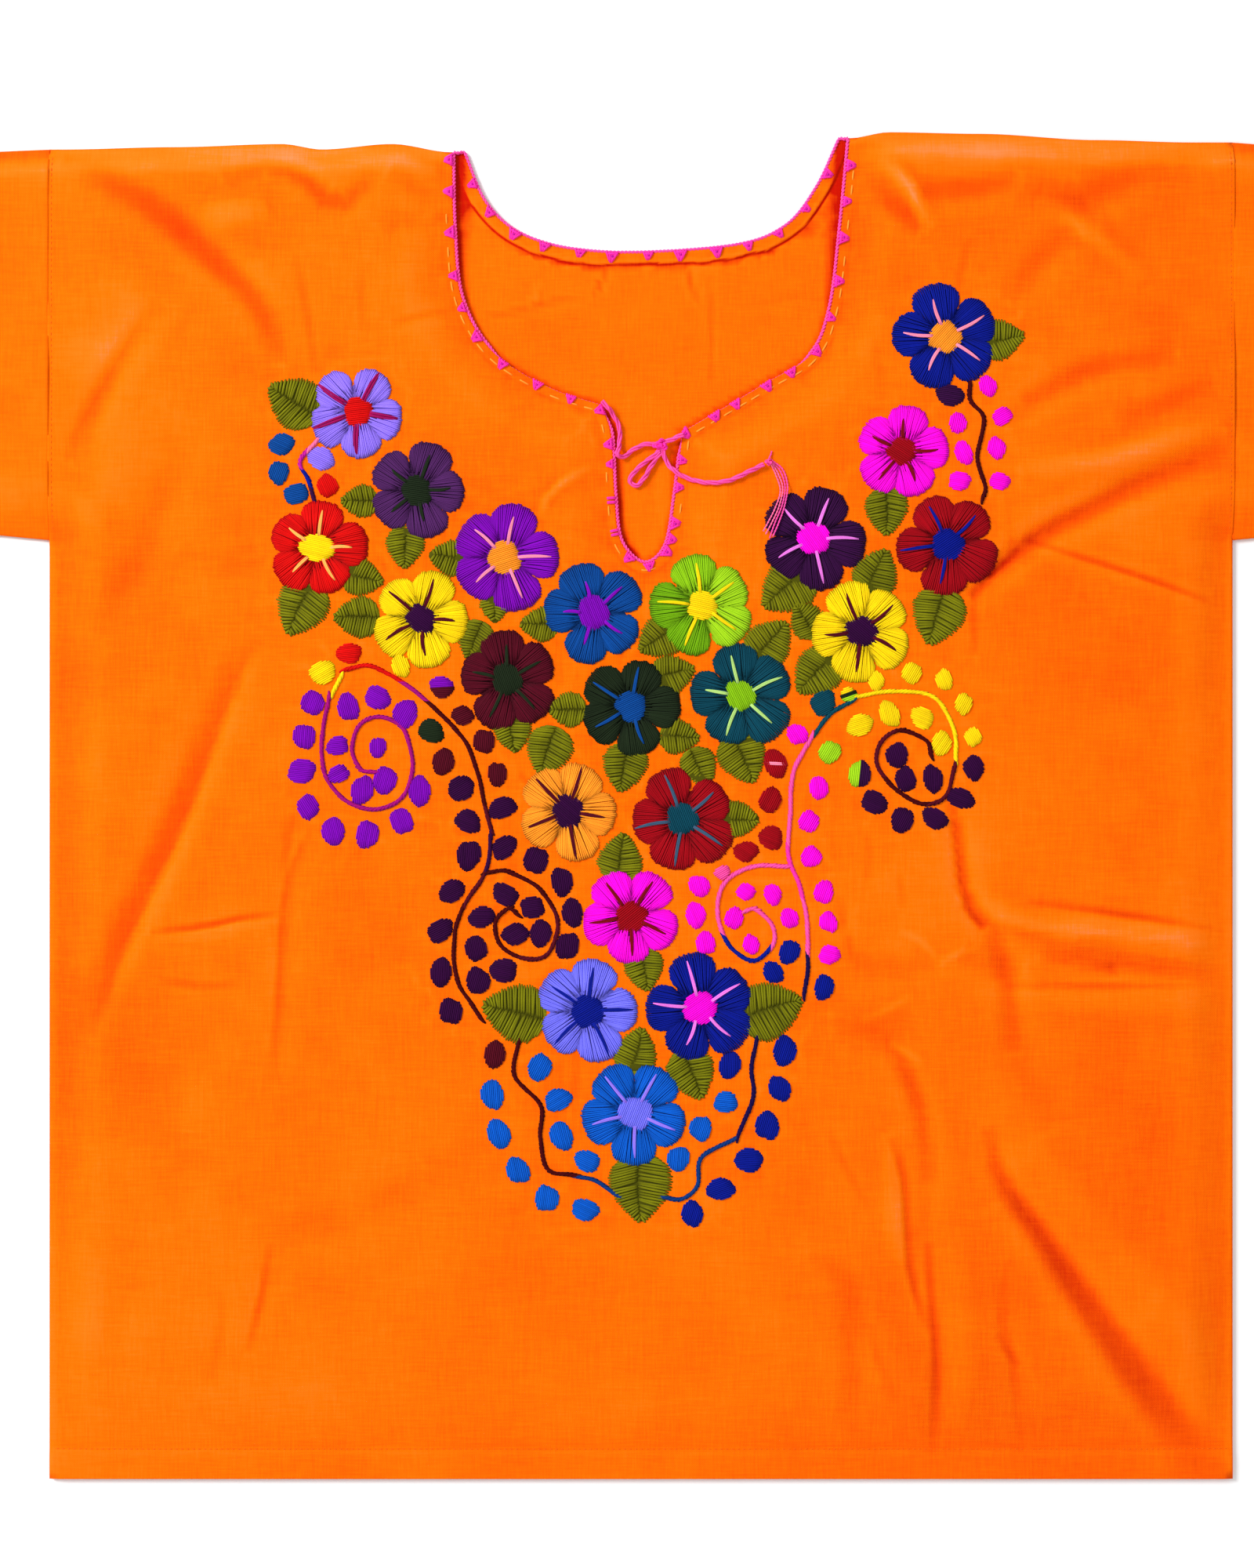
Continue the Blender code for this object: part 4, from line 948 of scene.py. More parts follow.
def clothPlan(outline, rings, spacing, keepOff):
    side, hem = cut["halfWidth"], cut["hemY"]
    rows = []
    ys = np.arange(hem + spacing / 2, cut["shoulderY"] + spacing, spacing * planGrid["rowShare"])
    for row, y in enumerate(ys):
        xs = np.arange(-side + (row % 2) * spacing / 2, side, spacing)
        rows.append(np.stack([xs, np.full(len(xs), y)], 1))
    lattice = np.vstack(rows)
    lattice = lattice[isInside(lattice[:, 0], lattice[:, 1], outline)]
    inside = np.ones(len(lattice), bool)
    near = (side - abs(lattice[:, 0]) < keepOff) | (lattice[:, 1] - hem < keepOff)
    near |= lattice[:, 1] > planGrid["neckReaches"]
    inside[near] = distanceTo(lattice[near, 0], lattice[near, 1], closedLine(outline)) > keepOff
    lattice, rings = lattice[inside], thinnedOut(rings, planGrid["ringGap"])
    size = planGrid["clearCell"]
    taken = {cellOf(x, y, size) for x, y in rings}
    clear = [taken.isdisjoint(cellsBy(cellOf(x, y, size))) for x, y in lattice]
    points = np.vstack([outline, rings, lattice[clear]])
    count = len(outline)
    edges = [(i, (i + 1) % count) for i in range(count)]
    made = delaunay_2d_cdt([Vector(p) for p in points], edges, [], 1, planGrid["mergeWithin"])
    faces, sources = made[2], made[3]
    order = [source[0] for source in sources]
    return points, np.array([[order[i] for i in face] for face in faces]), count


def newMesh(name, vertices, faces):
    mesh = bpy.data.meshes.new(name)
    mesh.from_pydata((vertices * mm).tolist(), [], faces)
    return mesh


def clothPiece(name, vertices, faces, tone):
    mesh = newMesh(name, vertices, faces)
    # This attribute holds the painted shade and painted highlight of the cloth
    field = mesh.attributes.new("paintedClothShade", "FLOAT", "POINT")
    field.data.foreach_set("value", tone.astype(np.float32))
    return finished(name, mesh, cotton)


def clothShell(name, points, triangles, count, top, bottom, tone, undersidePaintedShade):
    vertices = np.vstack([np.column_stack([points, top]), np.column_stack([points, bottom])])
    shift = len(points)
    faces = triangles.tolist() + (triangles[:, ::-1] + shift).tolist()
    joinRings(faces, shift, 0, count)
    return clothPiece(name, vertices, faces, np.concatenate([tone, undersidePaintedShade]))


def finished(name, mesh, material):
    mesh.materials.append(material)
    mesh.validate()
    mesh.update()
    mesh.shade_smooth()
    made = bpy.data.objects.new(name, mesh)
    bpy.context.scene.collection.objects.link(made)
    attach(made, "root")
    return made


def planArea(points, triangles):
    a, b, c = (points[triangles[:, k]] for k in range(3))
    one, other = b - a, c - a
    return float(abs(one[:, 0] * other[:, 1] - one[:, 1] * other[:, 0]).sum() / 2) * mm * mm


def hemRows():
    rows = []
    for offset in frontCloth["hemRings"]:
        xs = np.arange(-cut["halfWidth"] + 4, cut["halfWidth"] - 3, 4.4)
        rows.append(np.stack([xs, np.full(len(xs), cut["hemY"] + offset)], 1))
    return rows


def creaseRows(outline):  # points that run along the fine creases, so that their sides stay smooth
    rows = []
    for fold in fineCreases:
        line = curveThrough(placedAll(fold.points), 3.0)
        aside = sideways(line)
        rows += [line + aside * offset for offset in (-4.4, -2.6, -1.2, 0.0, 1.2, 2.6, 4.4)]
    return keptInside(np.vstack(rows), outline, closedLine(outline), 9.6)


def makeFront():
    outline = panelOutline(frontNeck)
    rings = [ringInside(outline, frontNeck, d, -1) for d in (1.0, 2.8, 4.8, 6.2, 7.2, 8.4)]
    rings += [ringInside(outline, closedLine(outline), d, 1) for d in (0.6, 1.4, 2.6)]
    rings += [creaseRows(outline)] + hemRows()
    points, triangles, count = clothPlan(outline, np.vstack(rings), frontCloth["spacing"], 4.0)
    x, y = points[:, 0], points[:, 1]
    top = frontTop(x, y)
    # Painted shade in the valleys and fold troughs, painted highlight on the ridges, and broad painted shade
    # and highlight
    tone = paintedShadeOf(frontTop, x, y, frontCloth["paintedShadeScales"]) + foldsAt(x, y, shadeRuns)
    tone = np.clip(tone + frontCloth["foldPaintedShade"] * foldsAt(x, y, mainRuns), 0, 1)
    # The underside gets a darker painted shade, where it lies on the back
    undersidePaintedShade = np.full(len(x), frontCloth["underPaintedShade"])
    bottom = top - cut["clothThickness"]
    cloth = clothShell("frontCloth", points, triangles, count, top, bottom, tone, undersidePaintedShade)
    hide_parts("front_panel")
    return cloth, planArea(points, triangles), outline


frontPiece, frontArea, frontOutline = makeFront()
print("front cloth:", len(frontPiece.data.polygons), "faces")


backCloth = {
    "spacing": 6.5,
    "neckHem": 6.6,
    "hemRaise": 0.9,
    "hemFade": 28.0,
    "gather": 0.2,
    "gatherReach": 9.0,
    "gatherSize": 4.6,
    "ripple": 0.16,
    "seenLow": 140.0,  # the part that shows inside the front's neck
    "seenSide": 100.0,
    "seenFade": 30.0,
}


def backTop(x, y):
    size = backCloth
    byNeck, depth = distanceToNeck(x, y, backNeck), hemDepth(x, y)
    fromEnd = np.minimum(*(np.hypot(x - end[0], y - end[1]) for end in (backNeck[0], backNeck[-1])))
    rise = size["hemRaise"] * eased(fromEnd / size["hemFade"])
    wavy = 1 + 0.3 * softNoise(x, y, 7, 23)
    band = 1 - eased((byNeck - depth + 0.35) / 0.7)
    height = cut["wall"] - 0.1 + rise * wavy * band
    height -= 0.3 * rise * bell(byNeck - depth - 0.9, 0.7)
    seen = eased((y - size["seenLow"]) / size["seenFade"])
    seen = seen * (1 - eased((abs(x) - size["seenSide"]) / size["seenFade"]))
    gathers = np.exp(-np.maximum(byNeck - size["neckHem"], 0) / size["gatherReach"])
    gathers = gathers * softNoise(x, x * 0 + 3.0, size["gatherSize"], 61)
    height += seen * (foldsAt(x, y, backRuns) + size["gather"] * gathers * (1 - band))
    height += seen * size["ripple"] * softNoise(x, y, 21, 29) * (1 - band)
    return height


def hemDepth(x, y):  # the turned edge's depth wavers between its stitches
    wobble = 0.12 * softNoise(x, y, 22, 59) + 0.07 * softNoise(x, y, 6.5, 67)
    return backCloth["neckHem"] * (1 + wobble) - 0.3 * np.sin(np.asarray(x) / 3.2)


def backBottom(x, y):
    inHem = cut["hemY"] + frontCloth["hemWidth"] - y
    crease = np.clip(foldsAt(x, y, undersideRuns), -0.2, 0.6)
    ripple = 0.12 * (1 + softNoise(x, y, 40, 31)) + 0.05 * (1 + softNoise(x, y, 15, 37))
    groove = 0.3 * bell(inHem - hemFold["grooveAt"], 0.8) - 0.1 * eased(inHem / 1.2)
    return np.clip(ripple + crease + groove, 0.02, 0.75)


def makeBack():
    outline = panelOutline(backNeck)
    rings = [ringInside(outline, backNeck, d, -1) for d in (1.2, 3.0, 4.6, 5.5, 6.3, 7.0, 7.7, 8.6)]
    seen = [straightRun((x, 120.0), (x, 340.0), 3.2) for x in np.arange(-118.0, 128.0, 3.2)]
    rings += [keptInside(np.vstack(seen), outline, backNeck, 9.6)] + hemRows()
    points, triangles, count = clothPlan(outline, np.vstack(rings), backCloth["spacing"], 5.0)
    x, y = points[:, 0], points[:, 1]
    tone = paintedShadeOf(backTop, x, y, ((2.4, 1.0),))
    pastHem = distanceTo(x, y, backNeck) - hemDepth(x, y)
    byFront = distanceTo(x, y, frontNeck)
    # Painted shade in the groove under the back's hem band, and no painted highlight on the band
    tone -= 0.5 * bell(pastHem - 0.5, 0.7)
    tone = np.where(pastHem < 1.0, np.minimum(tone, 0.56), tone)
    # Painted shadow of the front's edge on the back, widest near the shoulders and along the slit's inner
    # edges
    upHigh = eased((y - 270) / 110)  # the cloth is in the front's shade, the more the nearer to the shoulders
    bySlit = np.where(x < 0, 1 - eased((y - 230) / 16), eased((y - 195) / 12) * (1 - eased((y - 214) / 8)))
    shadeWidth = 2.4 + 5.2 * upHigh + 2.0 * bySlit
    shade = (0.3 + 0.65 * upHigh + 0.35 * bySlit) * np.exp(-((byFront / shadeWidth) ** 4))
    tone = np.clip(tone - shade, 0, 1)
    # Painted shade and highlight on the back's underside, from its creases
    undersidePaintedShade = paintedShadeOf(backBottom, x, y, ((5.0, -0.5),))
    cloth = clothShell("backCloth", points, triangles, count, backTop(x, y), backBottom(x, y), tone, undersidePaintedShade)
    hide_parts("back_panel")
    return cloth, planArea(points, triangles)


backPiece, backArea = makeBack()
print("back cloth:", len(backPiece.data.polygons), "faces")


sleeve = {"stations": 30, "around": 46, "cuffHem": 20.0, "ripple": 0.5, "seamDrop": 0.2, "insidePaintedShade": 0.35}


def sleeveTop(x, y):
    height, free = lieAt(x, y)
    height += free * sleeve["ripple"] * (softNoise(x, y, 46, 41) + 0.5 * softNoise(x, y, 18, 43))
    height += turnedHem(abs(x) - (cut["cuffX"] - sleeve["cuffHem"]), 1.4, 1.0)
    return height - sleeve["seamDrop"] * (1 - eased((abs(x) - cut["halfWidth"]) / 2.5))


def makeSleeve(name, side, node):
    first, last = cut["halfWidth"] - 0.6, cut["cuffX"]
    stations = np.concatenate([
        [first, first + 1.2, first + 2.4],
        np.linspace(first + 6, last - sleeve["cuffHem"] - 2, sleeve["stations"]),
        last - sleeve["cuffHem"] + np.array([0.0, 1.0, 1.8, 2.6, 4.0, 9.0, 14.0]),
        [last],
    ])
    half = sleeve["around"]
    shares = (1 - np.cos(np.linspace(0, math.pi, half))) / 2
    rings, tones = [], []
    thick = cut["clothThickness"]
    for place in stations:
        x = side * place
        top, bottom = float(shoulderAt([x])[0]), float(underarmAt(x))
        ys = bottom + (top - bottom) * shares
        xs = np.full(half, x)
        under = np.column_stack([xs, ys, 0.05 + 0.2 * (1 + softNoise(xs, ys, 30, 47))])
        over = np.column_stack([xs, ys, sleeveTop(xs, ys)])[::-1]
        edge = np.sin(np.linspace(0, math.pi, half))[::-1]  # pinches the two layers together at the folds
        over[:, 2] = np.maximum(under[::-1, 2] + 0.9, over[:, 2] - 0.9 * (1 - np.minimum(1, edge * 6)))
        outer = np.vstack([under, over])
        inward = np.clip((outer[:, 1] - bottom) / (top - bottom), 0, 1)
        innerY = bottom + thick + (top - bottom - 2 * thick) * inward
        innerZ = np.concatenate([under[:, 2] + thick * 0.5, over[:, 2] - thick * 0.5])
        rings += [outer, np.column_stack([outer[:, 0], innerY, innerZ])]
        upper = paintedShadeOf(sleeveTop, xs, ys, frontCloth["paintedShadeScales"])[::-1]
        # Painted shade: the sleeve's inner faces are darker than its outer ones
        tones += [np.full(half, 0.5), upper, np.full(half * 2, sleeve["insidePaintedShade"])]
    around, faces = half * 2, []
    last = (len(stations) - 1) * around * 2
    for a, b in zip(range(0, last, around * 2), range(around * 2, last + 1, around * 2)):
        here, beyond = (a, b) if side > 0 else (b, a)
        joinRings(faces, beyond, here, around)
        joinRings(faces, here + around, beyond + around, around)
    for base, flip in ((0, 1), (last, -1)):
        rims = (base, base + around) if flip * side > 0 else (base + around, base)
        joinRings(faces, *rims, around)
    made = clothPiece(name, np.vstack(rings), faces, np.concatenate(tones))
    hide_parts(node)
    return made


sleeveLeft = makeSleeve("sleeveLeft", -1, "sleeve_left")
sleeveRight = makeSleeve("sleeveRight", 1, "sleeve_right")
print("sleeves made")


# Threads: short strands with four points around, laid side by side over the cloth
def newThreads():
    return {"plan": [], "rise": [], "tint": [], "faces": [], "count": 0}


# shade scales the yarn's colour point by point: its callers give it a random tone and painted shade where a
# stitch dips into the cloth
def layThread(threads, line, halfWidth, rise, colour, shade=1.0):
    line = np.asarray(line, float)
    count = len(line)
    aside = sideways(line)
    width = np.broadcast_to(halfWidth, count)
    crest = np.broadcast_to(rise, count)
    level = np.broadcast_to(shade, count)
    foot = crest - width * 1.1
    plan = np.stack([line + aside * (width * k)[:, None] for k in (1.0, 0.55, -0.55, -1.0)], 1)
    threads["plan"].append(plan.reshape(-1, 2))
    threads["rise"].append(np.stack([foot, crest, crest, foot], 1).ravel())
    threads["tint"].append(np.repeat(np.outer(level, colour), 4, axis=0))
    first = threads["count"]
    last = first + 4 * (count - 1)
    for start in range(first, last, 4):
        joinRings(threads["faces"], start, start + 4, 4)
    threads["faces"] += [(first + 3, first + 2, first + 1, first), (last, last + 1, last + 2, last + 3)]
    threads["count"] += 4 * count


def layPad(threads, middle, outline, rise, colour):  # padding at half the yarn's colour, a painted shade in the gaps between the threads, so no cloth shows there
    spokes, count, first = outline - middle, len(outline), threads["count"]
    rings = ((1.0, -0.8), (0.97, 0.1), (0.72, rise), (0.36, rise))
    plan = [middle[None], *(middle + spokes * share for share, level in rings), middle[None]]
    levels = [[-0.8], *(np.full(count, level) for share, level in rings), [rise]]
    threads["plan"].append(np.vstack(plan))
    threads["rise"].append(np.concatenate(levels))
    threads["tint"].append(np.tile(np.array(colour) * 0.5, (count * len(rings) + 2, 1)))
    foot, top = first + 1, first + 1 + count * (len(rings) - 1)
    for start in range(foot, top, count):
        joinRings(threads["faces"], start, start + count, count)
    for j in range(count):
        i = (j + 1) % count
        threads["faces"] += [(foot + i, foot + j, first), (top + j, top + i, top + count)]
    threads["count"] += count * len(rings) + 2


def threadPiece(name, threads, material, heightAt=frontTop):
    plan, rise = np.vstack(threads["plan"]), np.concatenate(threads["rise"])
    level = heightAt(plan[:, 0], plan[:, 1]) + rise
    mesh = newMesh(name, np.column_stack([plan, level]), threads["faces"])
    addTint(mesh, np.vstack(threads["tint"]))
    addPlanMap(mesh)
    made = finished(name, mesh, material)
    print(name + ":", len(made.data.polygons), "faces")
    return made


def addTint(mesh, tint):
    field = mesh.attributes.new("yarnTint", "FLOAT_COLOR", "POINT")
    tint = np.column_stack([np.clip(tint, 0, 1), np.ones(len(tint))])
    field.data.foreach_set("color", tint.astype(np.float32).ravel())


def addPlanMap(mesh):  # the map as seen from above
    spots = np.empty(len(mesh.vertices) * 3, np.float32)
    mesh.vertices.foreach_get("co", spots)
    spots = spots.reshape(-1, 3)[:, :2]
    low, span = spots.min(0), np.ptp(spots, axis=0)
    corner = np.empty(len(mesh.loops), np.int32)
    mesh.loops.foreach_get("vertex_index", corner)
    layer = mesh.uv_layers.new(name="OFBake")
    layer.uv.foreach_set("vector", (0.01 + 0.98 * (spots - low) / span)[corner].astype(np.float32).ravel())


rng = np.random.default_rng(20)

flowerStitch = {
    "radius": 29.0,
    "notch": 18.6,
    "petals": 5,
    "halfAngle": 36.0,
    "threads": 29,
    "halfWidth": 0.68,
    "rise": 1.75,
    "toneSpread": 0.09,
    "rayWidth": 0.66,
}
stopAt = {"heart": 6.2, "short": 11.5, "least": 2.4}  # from the flower's middle, and the shortest stitch laid
limePetals = ("limeLight", "lime", "limeDark", "limeDark", "limeLight")  # its yarn changes part way


def petalRise(reach, across, outer):  # the petal's crest above the cloth
    swell = 0.36 + 0.64 * (1 - np.clip(abs(across), 0, 1) ** 2.6)
    inner = 0.72 + 0.28 * eased((reach - 6.0) / 7.0)
    outerDrop = np.sqrt(np.clip(1 - np.clip((reach - outer + 4.5) / 4.6, 0, 1) ** 2.2, 0.0, 1))
    return 0.12 + flowerStitch["rise"] * swell * inner * outerDrop


def offAxis(x, y, axis):  # the turn from a petal's axis to this spot, from minus to plus half a turn
    return (np.arctan2(y, x) - axis + math.pi) % math.tau - math.pi


def threadInward(tip, along, axis, stop, widest):  # how far in a stitch runs, to the heart or the petal's side
    length, step = 0.0, 0.8
    while length < widest:
        spot = tip - along * (length + step)
        bearing = offAxis(spot[0], spot[1], axis)
        if math.hypot(*spot) < stop or abs(bearing) > math.radians(flowerStitch["halfAngle"] + 0.5):
            break
        length += step
    return length


def layPetal(threads, middle, axis, reachOut, notches, colour):
    halfAngle, count = flowerStitch["halfAngle"], flowerStitch["threads"]
    tone, skew, squareness = rng.uniform(0.93, 1.06), rng.uniform(-0.10, 0.10), rng.uniform(2.2, 3.6)
    spread = flowerStitch["toneSpread"]
    shares = np.array([0.0, 0.25, 0.5, 0.72, 0.87, 0.96, 1.0])
    for i in range(count):
        across = -1 + 2 * (i + 0.5) / count
        swell = (1 - abs(across) ** squareness) ** 0.55 * (1 + skew * across)
        notch = notches[0] if across < 0 else notches[1]
        outer = notch + (reachOut - notch) * swell + rng.uniform(-0.5, 0.5)
        angle = axis + math.radians(halfAngle * across)
        lean = axis + math.radians(halfAngle * across * 0.66 + rng.uniform(-1.8, 1.8))
        tip, along = pointing(angle) * outer, pointing(lean)
        stop = stopAt["heart"] if i % 2 else stopAt["short"] + rng.uniform(-1, 1)
        length = threadInward(tip, along, axis, stop, outer - 2)
        if length < stopAt["least"]:
            continue
        line = tip - along * length * (1 - shares)[:, None]
        reach = np.hypot(line[:, 0], line[:, 1])
        beside = np.degrees(offAxis(line[:, 0], line[:, 1], axis)) / halfAngle
        crest = petalRise(reach, beside, outer) + rng.uniform(-0.09, 0.09)
        # A random tone for each petal and stitch, with painted shade along the petal's sides and at both ends
        # of a stitch, where it dips into the cloth
        shades = tone * rng.uniform(1 - spread, 1 + spread) * (1 - 0.4 * np.clip(abs(beside), 0, 1) ** 9)
        shades = shades * np.interp(shares, [0, 0.25, 0.88, 1], [0.72, 1, 1, 0.55])
        width = flowerStitch["halfWidth"] * np.interp(shares, [0, 0.5, 1], [0.75, 1, 0.9])
        layThread(threads, middle + line, width, crest, colour, shades)


def layFlower(petalThreads, heartThreads, flower):
    middle = np.array(placed(flower.x, flower.y))
    petalCount = flowerStitch["petals"]
    notches = flowerStitch["notch"] * flower.size * rng.uniform(0.9, 1.06, petalCount)
    outers, outline = [], []
    for petal in range(petalCount):
        axis = math.radians(flower.turn + 360 / petalCount * petal + rng.uniform(-3.5, 3.5))
        reachOut = flowerStitch["radius"] * flower.size * rng.uniform(0.95, 1.05)
        outers.append((axis, reachOut))
        for share in (-1.0, -0.6, -0.2, 0.2, 0.6):
            bearing = axis + math.radians(flowerStitch["halfAngle"] * share)
            reach = (reachOut - 2.4) * (1 - 0.16 * share * share)
            if share == -1.0:
                reach = notches[petal - 1] * 0.93
            outline.append(middle + pointing(bearing) * reach)
    layPad(petalThreads, middle, np.array(outline), 0.45, yarnColours[flower.petals])
    for petal, (axis, reachOut) in enumerate(outers):
        colour = limePetals[petal] if flower.petals == "lime" else flower.petals
        sides = (notches[petal - 1], notches[petal])
        layPetal(petalThreads, middle, axis, reachOut, sides, np.array(yarnColours[colour]))
    layRays(heartThreads, flower, middle, outers)
    layHeart(heartThreads, flower, middle)


def layRays(threads, flower, middle, outers):
    colour = np.array(yarnColours[flower.rays])
    for axis, outer in outers:
        if rng.random() < 0.06:
            continue
        bearing = axis + math.radians(rng.uniform(-8, 8))
        along = pointing(bearing)
        side = crosswise(along)
        end = outer * flower.reach * rng.uniform(0.84, 1.04)
        reach = np.linspace(7.6, min(end, outer - 0.5), 7)
        lift = np.array([0.35, 0.5, 0.55, 0.55, 0.5, 0.42, 0.1])
        crest = petalRise(reach, (bearing - axis) / math.radians(flowerStitch["halfAngle"]), outer) + lift
        bow = rng.uniform(-0.9, 0.9) * np.sin(np.linspace(0, math.pi, 7))
        width = np.array([0.8, 1.0, 1.05, 1.0, 0.9, 0.7, 0.4])
        width *= flowerStitch["rayWidth"] * flower.rayWide**0.6
        for shift in (-0.42, 0.42):
            aside = bow + shift * flower.rayWide * np.array([0.9, 1.0, 1.0, 1.0, 0.9, 0.7, 0.3])
            line = middle + reach[:, None] * along + aside[:, None] * side
            layThread(threads, line, width, crest + rng.uniform(0, 0.05), colour, rng.uniform(0.9, 1.08))


heartStitch = {
    "radius": 9.0,
    "spacing": 1.12,
    "roundness": 2.6,
    "waver": 0.13,
    "waverTurns": 2.6,
    "endSpread": 0.35,
    "skew": 0.0,
    "arch": 0.85,
    "foot": 0.8,
    "rise": 1.5,
    "riseSpread": 0.09,
    "halfWidth": 0.66,
    "tones": (0.88, 1.06),
    "profileAt": (-1.0, -0.9, -0.6, 0.0, 0.6, 0.9, 1.0),
    "profile": (0.0, 0.5, 0.88, 1.0, 0.88, 0.5, 0.0),
    "shades": (0.6, 0.88, 1.0, 1.03, 1.0, 0.88, 0.6),
}


# An oval of stitches side by side, each with its own ends, shade and height
def layOval(threads, middle, along, longHalf, wideHalf, stitch, colours):
    phases = rng.uniform(0, math.tau, 2)
    skew = rng.uniform(-stitch["skew"], stitch["skew"]) if stitch["skew"] else 0.0
    count = round(wideHalf * 2 / stitch["spacing"])
    shares = np.array(stitch["profileAt"])
    for i in range(count):
        q = -1 + 2 * (i + 0.5) / count
        half = longHalf * (1 - abs(q) ** stitch["roundness"]) ** 0.5
        waver = 1 + stitch["waver"] * np.sin(stitch["waverTurns"] * q + phases)
        ends = half * waver + rng.uniform(-stitch["endSpread"], stitch["endSpread"], 2)
        reach = np.where(shares < 0, ends[0], ends[1]) * shares + skew * q * wideHalf
        line = middle + reach[:, None] * along + crosswise(along) * q * wideHalf
        # A random tone for each stitch, with painted shade toward its ends from the shades profile
        shades = rng.uniform(*stitch["tones"]) * np.array(stitch["shades"])
        arch = np.sqrt(np.clip(1 - q * q * stitch["arch"], 0, 1))
        crest = stitch["foot"] + stitch["rise"] * arch * np.array(stitch["profile"])
        crest += rng.uniform(-stitch["riseSpread"], stitch["riseSpread"])
        colour = yarnColours[colours[int((q + 1) / 2 * len(colours))]]
        layThread(threads, line, stitch["halfWidth"], crest, colour, shades)


def layHeart(threads, flower, middle):
    along, radius = pointing(rng.uniform(0, math.pi)), heartStitch["radius"] * flower.size
    longHalf, wideHalf = radius * rng.uniform(0.95, 1.16), radius * rng.uniform(0.86, 1.04)
    layOval(threads, middle, along, longHalf, wideHalf, heartStitch, [flower.centre])


petalThreads, heartThreads = newThreads(), newThreads()
for flower in flowers:
    layFlower(petalThreads, heartThreads, flower)
petals = threadPiece("flowerPetals", petalThreads, stitchYarn)
hearts = threadPiece("flowerHearts", heartThreads, stitchYarn)


leafStitch = {
    "widthShare": 0.93,
    "spacing": 1.6,
    "halfWidth": 0.86,
    "rise": 1.45,
    "slant": 0.15,
    "profileAt": (-1.02, -0.9, -0.62, -0.3, 0.05, 0.4, 0.72, 0.92, 1.04),
    "profile": (0.0, 0.55, 0.88, 1.0, 0.93, 0.72, 0.42, 0.18, 0.0),
}


def leafSide(share):
    return np.interp(share, leafStitch["profileAt"], leafStitch["profile"])


def underFlower(line):  # how much of a stitch's height is left where a flower lies over it
    left = np.ones(len(line))
    for x, y, reach in flowerSpots:
        apart = np.hypot(line[:, 0] - x, line[:, 1] - y)
        left = np.minimum(left, 0.15 + 0.85 * eased((apart - reach + 1.5) / 2.5))
    return left


def layLeaf(threads, leaf):
    middle, tip = np.array(placed(leaf.x, leaf.y)), np.array(placed(leaf.tipX, leaf.tipY))
    half = tip - middle
    size = float(np.hypot(*half))
    along = half / size
    across = crosswise(along)
    colour = np.array(yarnColours["olive"])
    widest = size * leafStitch["widthShare"]
    bend = rng.uniform(-0.08, 0.08) * size
    rim = np.linspace(-0.95, 0.95, 12)[:, None]
    aside = across * leafSide(rim) * widest * 0.86
    pad = np.vstack([middle + rim * half - aside, (middle + rim * half + aside)[::-1]])
    # The leaf's padding is darker still, more painted shade between its stitches
    layPad(threads, middle, pad, 0.25, colour * 0.75)
    shares = np.array([0.0, 0.14, 0.5, 0.84, 1.0])
    for side in (-1, 1):
        tone = rng.uniform(0.92, 1.06)
        count = round(size * 2 / leafStitch["spacing"])
        for i in range(count):
            s = -0.97 + 1.97 * (i + 0.5) / count
            wide = leafSide(s) * widest + rng.uniform(-0.6, 0.5)
            if wide < 1.4:
                continue
            root = max(-1.0, s - leafStitch["slant"] - rng.uniform(0, 0.08))
            rootAside = bend * (1 - root * root) - side * rng.uniform(-0.3, 0.7)
            start = middle + along * root * size + across * rootAside
            end = middle + along * s * size + across * side * wide
            line = start + (end - start) * shares[:, None]
            crest = leafStitch["rise"] * np.array([0.3, 0.8, 1.0, 0.78, 0.1]) * (1 - 0.2 * abs(s))
            crest = (crest + rng.uniform(-0.12, 0.12)) * underFlower(line)
            # A random tone for each stitch, with painted shade at the midrib and the leaf's edge, where the
            # stitch dips into the cloth
            shades = tone * rng.uniform(0.8, 1.14) * np.array([0.38, 0.82, 1.04, 0.98, 0.62])
            width = leafStitch["halfWidth"] * np.array([0.75, 0.95, 1.0, 0.95, 0.75])
            layThread(threads, line, width, crest, colour, shades)


leafThreads = newThreads()
for leaf in leaves:
    layLeaf(leafThreads, leaf)
leafPiece = threadPiece("leafStitches", leafThreads, stitchYarn)


berryStitch = {
    "halfLong": 7.9,
    "halfWide": 6.9,
    "spacing": 1.1,
    "roundness": 2.5,
    "waver": 0.12,
    "waverTurns": 2.4,
    "endSpread": 0.4,
    "skew": 0.16,
    "arch": 0.8,
    "foot": 0.1,
    "rise": 1.55,
    "riseSpread": 0.07,
    "halfWidth": 0.66,
    "tones": (0.88, 1.07),
    "profileAt": (-1.0, -0.86, -0.45, 0.45, 0.86, 1.0),
    "profile": (0.0, 0.58, 0.95, 0.95, 0.58, 0.0),
    "shades": (0.6, 0.9, 1.03, 1.03, 0.9, 0.6),
}


